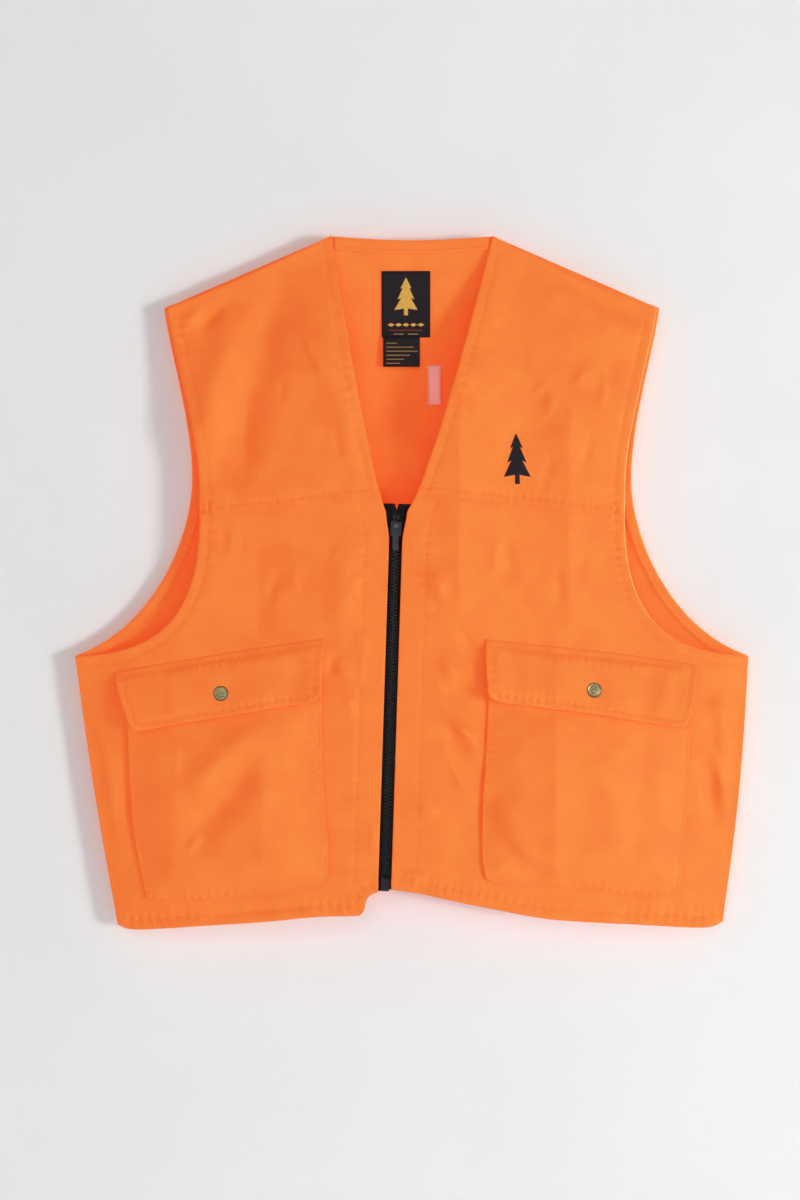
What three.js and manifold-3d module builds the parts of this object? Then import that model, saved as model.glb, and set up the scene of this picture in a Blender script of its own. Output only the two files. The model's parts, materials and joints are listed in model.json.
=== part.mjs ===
// Sleeveless hunting vest in blaze orange cloth, hanging with its front zip closed.
// Millimetres, +Z up, front towards -Y, "left" is -X as seen from the front.
// The origin is the middle of the line between the two neck points, where a hanger carries it.
import * as THREE from "three";
import { mergeVertices } from "three/addons/utils/BufferGeometryUtils.js";
import Module from "manifold-3d";

// ---- Driving dimensions ----

// Garment outline
const NECK_HALF = 82;
const BACK_NECK_DROP = 4;
const SHOULDER_HALF = 250;
const SHOULDER_DROP = 73;
const CHEST_HALF = 340;
const UNDERARM_Z = -425;
const ARMHOLE_HALF = 222;
const ARMHOLE_NARROW_Z = -245;
const FRONT_ARMHOLE_INSET = 9;
const HEM_HALF = { left: 297, right: 314 };
const HEM_SIDE_Z = -696;
const HEM_RISE = 36;
const HEM_FRONT_Z = HEM_SIDE_Z + HEM_RISE;
const HEM_CORNER_DROP = 23;
const BACK_HEM_LIFT = 9;
const YOKE_SIDE_Z = -287;
const YOKE_FRONT_Z = -267;

// Cloth layers
const CLOTH = 1.2;
const LINING_CLOTH = 0.8;
const GAP = 0.3;
const SEAM_HALF = 0.2;
const FRONT_DEPTH = 24;
const BACK_DEPTH = 10;
const DEPTH_RAMP = 140;
const FLAT_HALF = 60;
const SIDE_ROUND = 40;
const SIDE_SHARE = 0.35;
const CELL = 30;

// Zip
const ZIP_TOP = { x: -15.4, z: -279 };
const ZIP_LEAN_DEG = 1.82;
const ZIP_GAP_HALF = 7;
const ZIP_FLARE = 4;
const TAPE_WIDTH = 13;
const TAPE_THICK = 0.6;
const TOOTH_PITCH = 3.4;
const TOOTH_LENGTH = 1.8;
const TOOTH_SLANT = 0.2;
const TOOTH_DEPTH = 2.6;
const TOOTH_TIP_GAP = 0.6;
const TOOTH_REACH = 2.9;
const TOOTH_CORE = 0.8;
const STOP_LENGTH = 4;
const STOP_BELOW = 4;
const BOX_LENGTH = 13;
const SLIDER_LENGTH = 14;
const SLIDER_WIDTH = 10.6;
const SLIDER_PLATE = 1.2;
const SLIDER_CLEARANCE = 0.4;
const SLIDER_START = 11;
const PULL_LENGTH = 25;
const PULL_WIDTH = 6;
const PULL_THICK = 1.4;
const PULL_PIN_R = 0.8;
const PULL_EYE_R = 2.2;

// Pockets and flaps
const FLAP_LENGTH = 215;
const FLAP_DROP = 61;
const FLAP_TAPER = 10;
const FLAP_RADIUS = 12;
const FLAP = {
  left: { innerX: -88, topZ: -407, slopeDeg: 9.1, snapOut: 110 },
  right: { innerX: 74, topZ: -408, slopeDeg: 6.6, snapOut: 113 },
};
const POCKET_WIDTH = 197;
const POCKET_TOP_BELOW = 18;
const POCKET_ABOVE_HEM = 37;
const POCKET_BOTTOM_Z = HEM_SIDE_Z + POCKET_ABOVE_HEM;
const POCKET_TAPER = 8;
const POCKET_RADIUS = 18;
const POCKET_BULGE = 12;
const POCKET_CLOTH = 1;
const POCKET_RAMP = 66;
const POCKET_RAMP_SHARE = 0.7;
const POCKET_MOUTH_OUT = 1.6;
const POCKET_MOUTH_OPEN = 10;

// Snap fasteners
const SNAP_CAP_R = 7.6;
const SNAP_CAP_HEIGHT = 2.2;
const SNAP_SHANK_R = 1.6;
const SNAP_SOCKET_R = 5.4;
const SNAP_SOCKET_HOLE_R = 3;
const SNAP_SOCKET_HEIGHT = 1.6;
const SNAP_SOCKET_FLOOR = 0.5;
const SNAP_STUD_R = 1.9;
const SNAP_STUD_HEIGHT = 1;
const SNAP_STUD_BASE_R = 5;
const SNAP_STUD_BASE = 0.6;
const SNAP_POST_R = 4.5;
const SNAP_POST_HEIGHT = 1.2;
const SNAP_ABOVE_FLAP_EDGE = 23;
const ROUND_SIDES = 20;

// Labels and marks
const LABEL = { x: -6, z: -35, width: 49, height: 66 };
const CARE_LABEL = { x: -10.5, width: 37, height: 30 };
const STICKER = { x: 23, z: -129, width: 13.5, height: 41 };
const CHEST_MARK = { x: 104, z: -201, width: 27, height: 51 };
const LICENCE_TAB = { x: 2, z: -247, width: 58, height: 70 };
const LABEL_CLOTH = 0.6;
const FACING_WIDTH = 26;
const FACING_TOP_Z = -50;
const NECK_FACING_WIDTH = 14;

const SIDES = { left: -1, right: 1 };
const FAR = 400; // deep enough for a prism to cut every layer

// ---- Materials ----

function finish(color, roughness, metalness = 0) {
  return new THREE.MeshStandardMaterial({ color, roughness, metalness });
}

const SHELL = finish(0xff6a1a, 0.85);
const TAPE = finish(0x141216, 0.9);
const TEETH = finish(0x0c0b0e, 0.35);
const BLACK_METAL = finish(0x18171a, 0.35, 0.8);
const AGED_BRASS = finish(0x8a8158, 0.45, 0.9);
const LABEL_WEAVE = finish(0x1b1517, 0.8);
const CLEAR_FILM = finish(0xf2a58c, 0.4);
const THREAD = finish(0x1c1214, 0.7);

// ---- Solids: joining, cutting and laying cloth ----

const wasm = await Module();
wasm.setup();

function solidOf(geometry) {
  const bare = geometry.clone();
  bare.deleteAttribute("normal");
  bare.deleteAttribute("uv");
  const merged = mergeVertices(bare, 1e-4);
  return new wasm.Manifold(
    new wasm.Mesh({
      numProp: 3,
      vertProperties: merged.attributes.position.array,
      triVerts: new Uint32Array(merged.index.array),
    }),
  );
}

function geometryOf(solid) {
  const mesh = solid.getMesh();
  const geometry = new THREE.BufferGeometry();
  geometry.setAttribute("position", new THREE.BufferAttribute(mesh.vertProperties, 3));
  geometry.setIndex(new THREE.BufferAttribute(mesh.triVerts, 1));
  return geometry;
}

function cutAway(body, ...tools) {
  return geometryOf(tools.reduce((rest, tool) => rest.subtract(solidOf(tool)), solidOf(body)));
}

function joined(...geometries) {
  return geometryOf(geometries.map(solidOf).reduce((all, next) => all.add(next)));
}

function overlap(a, b) {
  return geometryOf(solidOf(a).intersect(solidOf(b)));
}

function named(name, geometry, material) {
  const mesh = new THREE.Mesh(geometry, material);
  mesh.name = name;
  return mesh;
}

// A box from x0 to x1, y0 to y1 and z0 to z1.
function block(x0, x1, y0, y1, z0, z1) {
  const box = new THREE.BoxGeometry(x1 - x0, y1 - y0, z1 - z0);
  return box.translate((x0 + x1) / 2, (y0 + y1) / 2, (z0 + z1) / 2);
}

// Two distances from the middle line as a low and a high X on one side of it.
function between(side, near, far) {
  return side < 0 ? [-far, -near] : [near, far];
}

// A disc, ring or stepped button turned about Y: [radius, y] points from the axis round to it.
function turned(points) {
  return new THREE.LatheGeometry(points.map(([r, y]) => new THREE.Vector2(r, y)), ROUND_SIDES);
}

// An outline in X and Z pushed along Y, from y0 to y1.
function prism(outline, y0, y1) {
  const geometry = new THREE.ExtrudeGeometry(outline, {
    depth: y1 - y0,
    bevelEnabled: false,
    curveSegments: 6,
  });
  return geometry.rotateX(Math.PI / 2).translate(0, y1, 0);
}

function smooth(t) {
  const c = Math.min(1, Math.max(0, t));
  return c * c * (3 - 2 * c);
}

// Half the vest's width at a height: full at the chest, narrowing from the underarm to the hem.
function sideHalf(name, z) {
  const share = Math.max(0, (UNDERARM_Z - z) / (UNDERARM_Z - HEM_SIDE_Z));
  return CHEST_HALF + share * (HEM_HALF[name] - CHEST_HALF);
}

// How far the hanging vest stands out, from 0 at its outline to 1 over the middle. It is flat
// behind each pocket, and its two faces close on each other at the side seams and shoulders.
function crown(x, z) {
  const reach = Math.abs(x);
  const slant = (reach - FLAT_HALF) / (CHEST_HALF - SIDE_ROUND - FLAT_HALF);
  const edge = (sideHalf(x < 0 ? "left" : "right", z) - reach) / SIDE_ROUND;
  const across = Math.min(1 - (1 - SIDE_SHARE) * Math.max(0, slant), SIDE_SHARE * Math.max(0, edge));
  const shoulderSlope = SHOULDER_DROP / (SHOULDER_HALF - NECK_HALF);
  const shoulderZ = -Math.max(0, reach - NECK_HALF) * shoulderSlope;
  return Math.min(1, across) * smooth((shoulderZ - z) / DEPTH_RAMP);
}

const frontSkin = (x, z) => -(SEAM_HALF + FRONT_DEPTH * crown(x, z));
const backSkin = (x, z) => SEAM_HALF + BACK_DEPTH * crown(x, z);

// A closed sheet over a grid that all layers share, from near to far beyond the skin along Y.
function sheet(skin, near, far, x0, x1, z0, z1) {
  const columns = [];
  for (let i = Math.floor(x0 / CELL) - 1; i <= Math.ceil(x1 / CELL) + 1; i++) columns.push(i * CELL);
  const rows = [];
  for (let i = Math.floor(z0 / CELL) - 1; i <= Math.ceil(z1 / CELL) + 1; i++) rows.push(i * CELL);
  const points = [];
  for (const y of [near, far]) for (const z of rows) for (const x of columns) points.push(x, skin(x, z) + y, z);
  const index = (layer, row, column) => (layer * rows.length + row) * columns.length + column;
  const faces = [];
  const quad = (a, b, c, d) => faces.push(a, b, c, a, c, d);
  for (let r = 0; r + 1 < rows.length; r++) {
    for (let c = 0; c + 1 < columns.length; c++) {
      quad(index(0, r, c), index(0, r, c + 1), index(0, r + 1, c + 1), index(0, r + 1, c));
      faces.push(index(1, r, c), index(1, r + 1, c + 1), index(1, r, c + 1));
      faces.push(index(1, r, c), index(1, r + 1, c), index(1, r + 1, c + 1));
    }
  }
  const lastRow = rows.length - 1;
  const lastColumn = columns.length - 1;
  for (let c = 0; c < lastColumn; c++) {
    quad(index(0, 0, c + 1), index(0, 0, c), index(1, 0, c), index(1, 0, c + 1));
    quad(index(0, lastRow, c), index(0, lastRow, c + 1), index(1, lastRow, c + 1), index(1, lastRow, c));
  }
  for (let r = 0; r < lastRow; r++) {
    quad(index(0, r, 0), index(0, r + 1, 0), index(1, r + 1, 0), index(1, r, 0));
    quad(index(0, r + 1, lastColumn), index(0, r, lastColumn), index(1, r, lastColumn), index(1, r + 1, lastColumn));
  }
  const geometry = new THREE.BufferGeometry();
  geometry.setAttribute("position", new THREE.Float32BufferAttribute(points, 3));
  geometry.setIndex(faces);
  return geometry;
}

// A piece of cloth with the given outline, laid on the skin between two depths.
function cloth(outline, skin, near, far) {
  const box = new THREE.Box2().setFromPoints(outline.getPoints(6));
  const laid = sheet(skin, near, far, box.min.x, box.max.x, box.min.y, box.max.y);
  return overlap(laid, prism(outline, -FAR, FAR));
}

function rectangle(middle, top, width, height) {
  const outline = new THREE.Shape();
  outline.moveTo(middle - width / 2, top);
  outline.lineTo(middle + width / 2, top);
  outline.lineTo(middle + width / 2, top - height);
  outline.lineTo(middle - width / 2, top - height);
  return outline;
}

// ---- Shared lines of the garment ----

const ZIP_LEAN = THREE.MathUtils.degToRad(ZIP_LEAN_DEG);
const ZIP_LENGTH = (ZIP_TOP.z - HEM_FRONT_Z) / Math.cos(ZIP_LEAN);

function zipX(z) {
  return ZIP_TOP.x - (ZIP_TOP.z - z) * Math.tan(ZIP_LEAN);
}

// The front edge of one side, at a distance outboard of the cloth's own edge.
function frontEdgeX(side, z, outboard = 0) {
  const flare = ZIP_FLARE * smooth((z - ZIP_TOP.z + 30) / 30);
  const atZip = zipX(ZIP_TOP.z) + side * (ZIP_GAP_HALF + ZIP_FLARE);
  if (z <= ZIP_TOP.z) return zipX(z) + side * (ZIP_GAP_HALF + flare + outboard);
  const share = (z - ZIP_TOP.z) / -ZIP_TOP.z;
  return atZip + (side * NECK_HALF - atZip) * share ** 0.8 + side * outboard;
}

function shoulderAndArmhole(outline, side, inset) {
  const tip = SHOULDER_HALF - inset / 3;
  const narrow = ARMHOLE_HALF - inset;
  const deep = ARMHOLE_NARROW_Z - inset;
  outline.lineTo(side * tip, -SHOULDER_DROP);
  outline.bezierCurveTo(side * (tip - 8), -SHOULDER_DROP - 52, side * narrow, deep + 55, side * narrow, deep);
  return { narrow, deep };
}

function underarm(outline, side, { narrow, deep }, inset) {
  const low = UNDERARM_Z + 27 - 3 * inset;
  outline.bezierCurveTo(
    side * narrow, deep - 60,
    side * (narrow + 40 - 3 * inset), Math.max(low, UNDERARM_Z),
    side * CHEST_HALF, UNDERARM_Z,
  );
}

// ---- Shell panels ----

function yokeOutline(name) {
  const side = SIDES[name];
  const outline = new THREE.Shape();
  const steps = 5;
  outline.moveTo(frontEdgeX(side, YOKE_FRONT_Z + GAP), YOKE_FRONT_Z + GAP);
  for (let i = 1; i <= steps; i++) {
    const z = YOKE_FRONT_Z * (1 - i / steps);
    outline.lineTo(frontEdgeX(side, z), z);
  }
  const { narrow, deep } = shoulderAndArmhole(outline, side, FRONT_ARMHOLE_INSET);
  outline.lineTo(side * narrow, Math.min(deep, YOKE_SIDE_Z + GAP));
  return outline;
}

function frontOutline(name) {
  const side = SIDES[name];
  const outline = new THREE.Shape();
  const inset = FRONT_ARMHOLE_INSET;
  const narrow = ARMHOLE_HALF - inset;
  const hemHalf = HEM_HALF[name];
  outline.moveTo(frontEdgeX(side, YOKE_FRONT_Z), YOKE_FRONT_Z);
  outline.lineTo(side * narrow, YOKE_SIDE_Z);
  underarm(outline, side, { narrow, deep: YOKE_SIDE_Z }, inset);
  outline.lineTo(side * hemHalf, HEM_SIDE_Z);
  if (name === "left") {
    outline.lineTo(side * 50, HEM_FRONT_Z - HEM_CORNER_DROP);
    outline.lineTo(side * 44, HEM_FRONT_Z);
  } else {
    outline.quadraticCurveTo(side * hemHalf * 0.5, HEM_SIDE_Z, side * 8, HEM_FRONT_Z);
  }
  for (const z of [HEM_FRONT_Z, ZIP_TOP.z - 30, ZIP_TOP.z - 15, ZIP_TOP.z]) {
    outline.lineTo(frontEdgeX(side, z), z);
  }
  return outline;
}

function backOutline() {
  const outline = new THREE.Shape();
  const hemZ = HEM_SIDE_Z + BACK_HEM_LIFT;
  outline.moveTo(-NECK_HALF, 0);
  const left = shoulderAndArmhole(outline, -1, 0);
  underarm(outline, -1, left, 0);
  outline.lineTo(-HEM_HALF.left, hemZ);
  outline.quadraticCurveTo(0, 2 * (HEM_FRONT_Z + BACK_HEM_LIFT) - hemZ, HEM_HALF.right, hemZ);
  outline.lineTo(CHEST_HALF, UNDERARM_Z);
  // The right armhole runs upwards, so its curves are the left ones mirrored and reversed.
  const { narrow, deep } = left;
  outline.bezierCurveTo(narrow + 40, Math.max(UNDERARM_Z + 27, UNDERARM_Z), narrow, deep - 60, narrow, deep);
  outline.bezierCurveTo(narrow, deep + 55, SHOULDER_HALF - 8, -SHOULDER_DROP - 52, SHOULDER_HALF, -SHOULDER_DROP);
  outline.lineTo(NECK_HALF, 0);
  outline.quadraticCurveTo(0, -2 * BACK_NECK_DROP, -NECK_HALF, 0);
  return outline;
}

// The strip of cloth folded inside along the V of the neck and the zip.
function facingOutline(name) {
  const side = SIDES[name];
  const outline = new THREE.Shape();
  const levels = [FACING_TOP_Z, -110, -180, ZIP_TOP.z, ZIP_TOP.z - 15, ZIP_TOP.z - 30, HEM_FRONT_Z + 2];
  levels.forEach((z, i) => {
    const x = frontEdgeX(side, z, 0.5);
    if (i === 0) outline.moveTo(x, z);
    else outline.lineTo(x, z);
  });
  for (const z of levels.toReversed()) outline.lineTo(frontEdgeX(side, z, FACING_WIDTH), z);
  return outline;
}

function neckFacingOutline() {
  const outline = new THREE.Shape();
  const half = NECK_HALF - 2;
  outline.moveTo(-half, -1.5);
  outline.quadraticCurveTo(0, -1.5 - 2 * BACK_NECK_DROP, half, -1.5);
  outline.lineTo(half, -NECK_FACING_WIDTH + 2);
  outline.quadraticCurveTo(0, -NECK_FACING_WIDTH - 2 * BACK_NECK_DROP + 2, -half, -NECK_FACING_WIDTH + 2);
  return outline;
}

// ---- Snap fastener: cap and socket on the flap, stud and post on the pocket ----
// Turned about Y with y = 0 on the flap's outer face, and +Y going into the cloth.

const FLAP_BACK = CLOTH;
const STUD_TOP = FLAP_BACK + 2 * GAP + SNAP_SOCKET_HEIGHT;
const POCKET_FACE = STUD_TOP + SNAP_STUD_BASE + GAP;

const snapCap = () => turned([
  [0, -SNAP_CAP_HEIGHT],
  [SNAP_CAP_R * 0.75, -SNAP_CAP_HEIGHT * 0.9],
  [SNAP_CAP_R, -SNAP_CAP_HEIGHT * 0.4],
  [SNAP_CAP_R, -GAP],
  [SNAP_SHANK_R, -GAP],
  [SNAP_SHANK_R, FLAP_BACK + GAP],
  [0, FLAP_BACK + GAP],
]);

function snapSocket() {
  const near = FLAP_BACK + GAP;
  const cup = near + SNAP_SOCKET_FLOOR;
  return turned([
    [SNAP_SHANK_R + GAP, near],
    [SNAP_SOCKET_R, near],
    [SNAP_SOCKET_R, near + SNAP_SOCKET_HEIGHT],
    [SNAP_SOCKET_HOLE_R, near + SNAP_SOCKET_HEIGHT],
    [SNAP_SOCKET_HOLE_R, cup],
    [SNAP_SHANK_R + GAP, cup],
    [SNAP_SHANK_R + GAP, near],
  ]);
}

function snapStud() {
  const end = POCKET_FACE + POCKET_CLOTH + GAP + SNAP_POST_HEIGHT / 2;
  return turned([
    [0, STUD_TOP - SNAP_STUD_HEIGHT],
    [SNAP_STUD_R, STUD_TOP - SNAP_STUD_HEIGHT],
    [SNAP_STUD_R, STUD_TOP],
    [SNAP_STUD_BASE_R, STUD_TOP],
    [SNAP_STUD_BASE_R, STUD_TOP + SNAP_STUD_BASE],
    [SNAP_SHANK_R, STUD_TOP + SNAP_STUD_BASE],
    [SNAP_SHANK_R, end],
    [0, end],
  ]);
}

function snapPost() {
  const near = POCKET_FACE + POCKET_CLOTH + GAP;
  return turned([
    [SNAP_SHANK_R + GAP, near],
    [SNAP_POST_R, near],
    [SNAP_POST_R, near + SNAP_POST_HEIGHT],
    [SNAP_SHANK_R + GAP, near + SNAP_POST_HEIGHT],
    [SNAP_SHANK_R + GAP, near],
  ]);
}

// ---- One side's pocket, flap and snap ----

// Runs in the flap's own frame: x outboard along its top seam, z up, y = 0 on the vest's face.
function pocketGroup(name) {
  const side = SIDES[name];
  const { innerX, topZ, slopeDeg } = FLAP[name];
  const slope = THREE.MathUtils.degToRad(slopeDeg);
  const yaw = Math.atan((FRONT_DEPTH * (1 - SIDE_SHARE)) / (CHEST_HALF - SIDE_ROUND - FLAT_HALF));
  const group = new THREE.Group();
  group.position.set(innerX, frontSkin(innerX, topZ) - CLOTH - GAP, topZ);
  group.rotation.set(0, side * slope, side * yaw, "ZYX");

  // Upright places on the vest, given from the flap's inner top corner, turned into this frame.
  const place = (out, down) => [
    side * (out * Math.cos(slope) + down * Math.sin(slope)),
    -(down * Math.cos(slope) - out * Math.sin(slope)),
  ];

  const bag = pocketBag(side, slope, topZ, place);
  const opened = Math.atan((POCKET_BULGE * POCKET_RAMP_SHARE) / POCKET_RAMP);
  const flap = flapParts(name, side, opened);
  group.add(named(`pocket_${name}`, flap.pierce(bag), SHELL));
  group.add(flap.moving);
  return group;
}

function pocketBag(side, slope, topZ, place) {
  const bottom = topZ - POCKET_BOTTOM_Z;
  const lift = POCKET_TAPER;
  const topDrop = (out) => POCKET_TOP_BELOW / Math.cos(slope) + out * Math.tan(slope);
  const bagOutline = (inset, mouth) => {
    const outline = new THREE.Shape();
    const radius = POCKET_RADIUS - inset;
    const innerTop = place(inset, topDrop(0) - mouth);
    const outerTop = place(POCKET_WIDTH - inset, topDrop(POCKET_WIDTH) - mouth);
    const corners = [
      [POCKET_WIDTH - lift - inset, bottom + lift - inset],
      [inset - lift / 2, bottom - inset],
    ];
    outline.moveTo(...innerTop);
    outline.lineTo(...outerTop);
    const [outerCorner, innerCorner] = corners;
    outline.lineTo(...place(outerCorner[0] + radius * 0.1, outerCorner[1] - radius));
    outline.quadraticCurveTo(...place(...outerCorner), ...place(outerCorner[0] - radius, outerCorner[1]));
    outline.lineTo(...place(innerCorner[0] + radius, innerCorner[1]));
    outline.quadraticCurveTo(...place(...innerCorner), ...place(innerCorner[0], innerCorner[1] - radius));
    return outline;
  };
  // The bag seen from its side: thin at the mouth, full below the flap.
  const profile = (inset) => {
    const rise = POCKET_BULGE * POCKET_RAMP_SHARE;
    const mouth = inset - POCKET_MOUTH_OUT;
    const outline = new THREE.Shape();
    const back = inset ? GAP + POCKET_BULGE : 0;
    outline.moveTo(back, FAR / 4);
    outline.lineTo(mouth, FAR / 4);
    outline.lineTo(mouth, -POCKET_TOP_BELOW);
    outline.lineTo(mouth - rise, -POCKET_TOP_BELOW - POCKET_RAMP);
    outline.lineTo(inset - POCKET_BULGE, -POCKET_TOP_BELOW - 2 * POCKET_RAMP);
    outline.lineTo(inset - POCKET_BULGE, -FAR);
    outline.lineTo(back, -FAR);
    return outline;
  };
  const profileSolid = (inset) => {
    const geometry = new THREE.ExtrudeGeometry(profile(inset), { depth: 2 * FAR, bevelEnabled: false });
    // Shape x becomes Y, shape y becomes Z, and the push becomes X.
    geometry.applyMatrix4(new THREE.Matrix4().set(0, 0, 1, -FAR, 1, 0, 0, 0, 0, 1, 0, 0, 0, 0, 0, 1));
    return geometry;
  };
  const outer = overlap(profileSolid(0), prism(bagOutline(0, 0), -FAR, 0));
  const inner = overlap(profileSolid(POCKET_CLOTH), prism(bagOutline(POCKET_CLOTH, POCKET_MOUTH_OPEN), -FAR, FAR));
  return cutAway(outer, inner);
}

function flapParts(name, side, opened) {
  const moving = new THREE.Group();
  const half = CLOTH / 2;
  const standOff = (POCKET_FACE - half) / Math.cos(opened);
  moving.position.set(0, -(standOff + POCKET_MOUTH_OUT - POCKET_TOP_BELOW * Math.tan(opened)), 0);
  moving.rotation.x = -opened;
  const outline = new THREE.Shape();
  const r = FLAP_RADIUS;
  const inner = FLAP_TAPER;
  const outer = FLAP_LENGTH - FLAP_TAPER;
  outline.moveTo(0, 0);
  outline.lineTo(side * FLAP_LENGTH, 0);
  outline.lineTo(side * outer, -FLAP_DROP);
  outline.lineTo(side * (inner + r), -FLAP_DROP);
  outline.quadraticCurveTo(side * inner, -FLAP_DROP, side * inner, -FLAP_DROP + r);
  const snapX = side * FLAP[name].snapOut;
  const snapZ = -FLAP_DROP + SNAP_ABOVE_FLAP_EDGE;
  const hole = turned([[0, -FAR / 8], [SNAP_SHANK_R + GAP, -FAR / 8], [SNAP_SHANK_R + GAP, FAR / 8], [0, FAR / 8]]);
  hole.translate(snapX, 0, snapZ);
  moving.add(named(`flap_${name}`, cutAway(prism(outline, -half, half), hole), SHELL));
  const snap = new THREE.Group();
  snap.position.set(snapX, -half, snapZ);
  snap.add(named(`snap_cap_${name}`, snapCap(), AGED_BRASS));
  snap.add(named(`snap_socket_${name}`, snapSocket(), AGED_BRASS));
  snap.add(named(`snap_stud_${name}`, snapStud(), AGED_BRASS));
  snap.add(named(`snap_post_${name}`, snapPost(), AGED_BRASS));
  moving.add(snap);
  moving.updateMatrixWorld(true);
  const pierce = (bag) => cutAway(bag, hole.clone().applyMatrix4(moving.matrixWorld));
  return { moving, pierce };
}

// ---- Zip: runs in its own frame, z from 0 at the top to -ZIP_LENGTH, y = 0 in the tapes' middle ----

const CHAIN_END = -(ZIP_LENGTH - BOX_LENGTH - 2);

function zipTape(side) {
  const [x0, x1] = between(side, TOOTH_REACH + GAP, TOOTH_REACH + GAP + TAPE_WIDTH);
  return block(x0, x1, -TAPE_THICK / 2, TAPE_THICK / 2, CHAIN_END, 0);
}

function zipTeeth(side) {
  const outline = new THREE.Shape();
  const top = -SLIDER_START + 1;
  const count = Math.floor((top - CHAIN_END - 1) / TOOTH_PITCH);
  const core = TOOTH_REACH - TOOTH_CORE;
  const offset = side > 0 ? TOOTH_PITCH / 2 : 0;
  outline.moveTo(side * TOOTH_REACH, top);
  outline.lineTo(side * core, top);
  for (let i = 0; i < count; i++) {
    const z = top - i * TOOTH_PITCH - offset;
    if (z < top) outline.lineTo(side * core, z);
    outline.lineTo(side * TOOTH_TIP_GAP, z - TOOTH_SLANT);
    outline.lineTo(side * TOOTH_TIP_GAP, z - TOOTH_LENGTH + TOOTH_SLANT);
    outline.lineTo(side * core, z - TOOTH_LENGTH);
  }
  const end = top - count * TOOTH_PITCH - 1;
  outline.lineTo(side * core, end);
  outline.lineTo(side * TOOTH_REACH, end);
  return prism(outline, -TOOTH_DEPTH / 2, TOOTH_DEPTH / 2);
}

const SLIDER_BACK = TOOTH_DEPTH / 2 + SLIDER_CLEARANCE;
const SLIDER_FRONT = -SLIDER_BACK;
const PULL_AXIS_Y = SLIDER_FRONT - SLIDER_PLATE - PULL_EYE_R - GAP;
const PULL_AXIS_Z = -SLIDER_START - 4;

function sliderBody() {
  const top = -SLIDER_START;
  const end = top - SLIDER_LENGTH;
  const half = SLIDER_WIDTH / 2;
  const web = TOOTH_TIP_GAP - GAP;
  const plate = (y0, y1) => block(-half, half, y0, y1, end, top);
  const slot = TAPE_THICK / 2 + SLIDER_CLEARANCE;
  const lips = [];
  for (const x of [-half, half - 1]) {
    lips.push(block(x, x + 1, SLIDER_FRONT - 0.1, -slot, end, top));
    lips.push(block(x, x + 1, slot, SLIDER_BACK + 0.1, end, top));
  }
  const lug = (x) => block(x, x + 1.2, PULL_AXIS_Y - 1.6, SLIDER_FRONT - 0.1, PULL_AXIS_Z - 2, PULL_AXIS_Z + 2);
  const earX = PULL_WIDTH / 2 - 0.6;
  const pin = new THREE.CylinderGeometry(PULL_PIN_R, PULL_PIN_R, 2 * earX + 1, 12).rotateZ(Math.PI / 2);
  return joined(
    plate(SLIDER_FRONT - SLIDER_PLATE, SLIDER_FRONT),
    plate(SLIDER_BACK, SLIDER_BACK + SLIDER_PLATE),
    block(-web, web, SLIDER_FRONT - 0.1, SLIDER_BACK + 0.1, end + 2, top),
    ...lips,
    lug(-earX - 1.2),
    lug(earX),
    pin.translate(0, PULL_AXIS_Y, PULL_AXIS_Z),
  );
}

function pullTab() {
  const outline = new THREE.Shape();
  const eyeHalf = PULL_WIDTH / 2 - 0.6 - GAP;
  const half = PULL_WIDTH / 2;
  outline.moveTo(-eyeHalf, 0);
  outline.lineTo(eyeHalf, 0);
  outline.lineTo(eyeHalf, -5);
  outline.lineTo(half, -8);
  outline.lineTo(half, -PULL_LENGTH + 2);
  outline.quadraticCurveTo(0, -PULL_LENGTH - 2, -half, -PULL_LENGTH + 2);
  outline.lineTo(-half, -8);
  outline.lineTo(-eyeHalf, -5);
  const tab = prism(outline, -PULL_THICK / 2, PULL_THICK / 2);
  const eye = new THREE.CylinderGeometry(PULL_EYE_R, PULL_EYE_R, 2 * eyeHalf, 14).rotateZ(Math.PI / 2);
  const bore = new THREE.CylinderGeometry(PULL_PIN_R + GAP, PULL_PIN_R + GAP, 4 * half, 12).rotateZ(Math.PI / 2);
  return cutAway(joined(tab, eye), bore).translate(0, PULL_AXIS_Y, PULL_AXIS_Z);
}

function zipGroup() {
  const group = new THREE.Group();
  const tapeY = frontSkin(ZIP_TOP.x, HEM_FRONT_Z) + GAP + TAPE_THICK / 2;
  group.position.set(ZIP_TOP.x, tapeY, ZIP_TOP.z);
  group.rotation.y = ZIP_LEAN;
  for (const [name, side] of Object.entries(SIDES)) {
    group.add(named(`zip_tape_${name}`, zipTape(side), TAPE));
    group.add(named(`zip_teeth_${name}`, zipTeeth(side), TEETH));
    const [x0, x1] = between(side, TOOTH_TIP_GAP, TOOTH_REACH);
    const stop = block(x0, x1, -TOOTH_DEPTH / 2, TOOTH_DEPTH / 2, -STOP_BELOW - STOP_LENGTH, -STOP_BELOW);
    group.add(named(`zip_top_stop_${name}`, stop, TEETH));
  }
  group.add(named("zip_slider", sliderBody(), BLACK_METAL));
  group.add(named("zip_pull", pullTab(), BLACK_METAL));
  const boxTop = CHAIN_END - 1.5;
  const pin = block(-2.6, -1, -0.8, 0.8, boxTop - BOX_LENGTH + 3, CHAIN_END - GAP);
  const socket = block(-2.6 - GAP, -1 + GAP, -0.8 - GAP, 0.8 + GAP, boxTop - BOX_LENGTH + 2, boxTop + 1);
  const box = block(-4, 4.4, -2.2, 2.2, boxTop - BOX_LENGTH + 0.5, boxTop);
  group.add(named("zip_pin", pin, TEETH));
  group.add(named("zip_retainer_box", cutAway(box, socket), TEETH));
  return group;
}

// ---- The whole vest ----

const vest = new THREE.Group();
vest.name = "hunting_vest";

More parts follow.
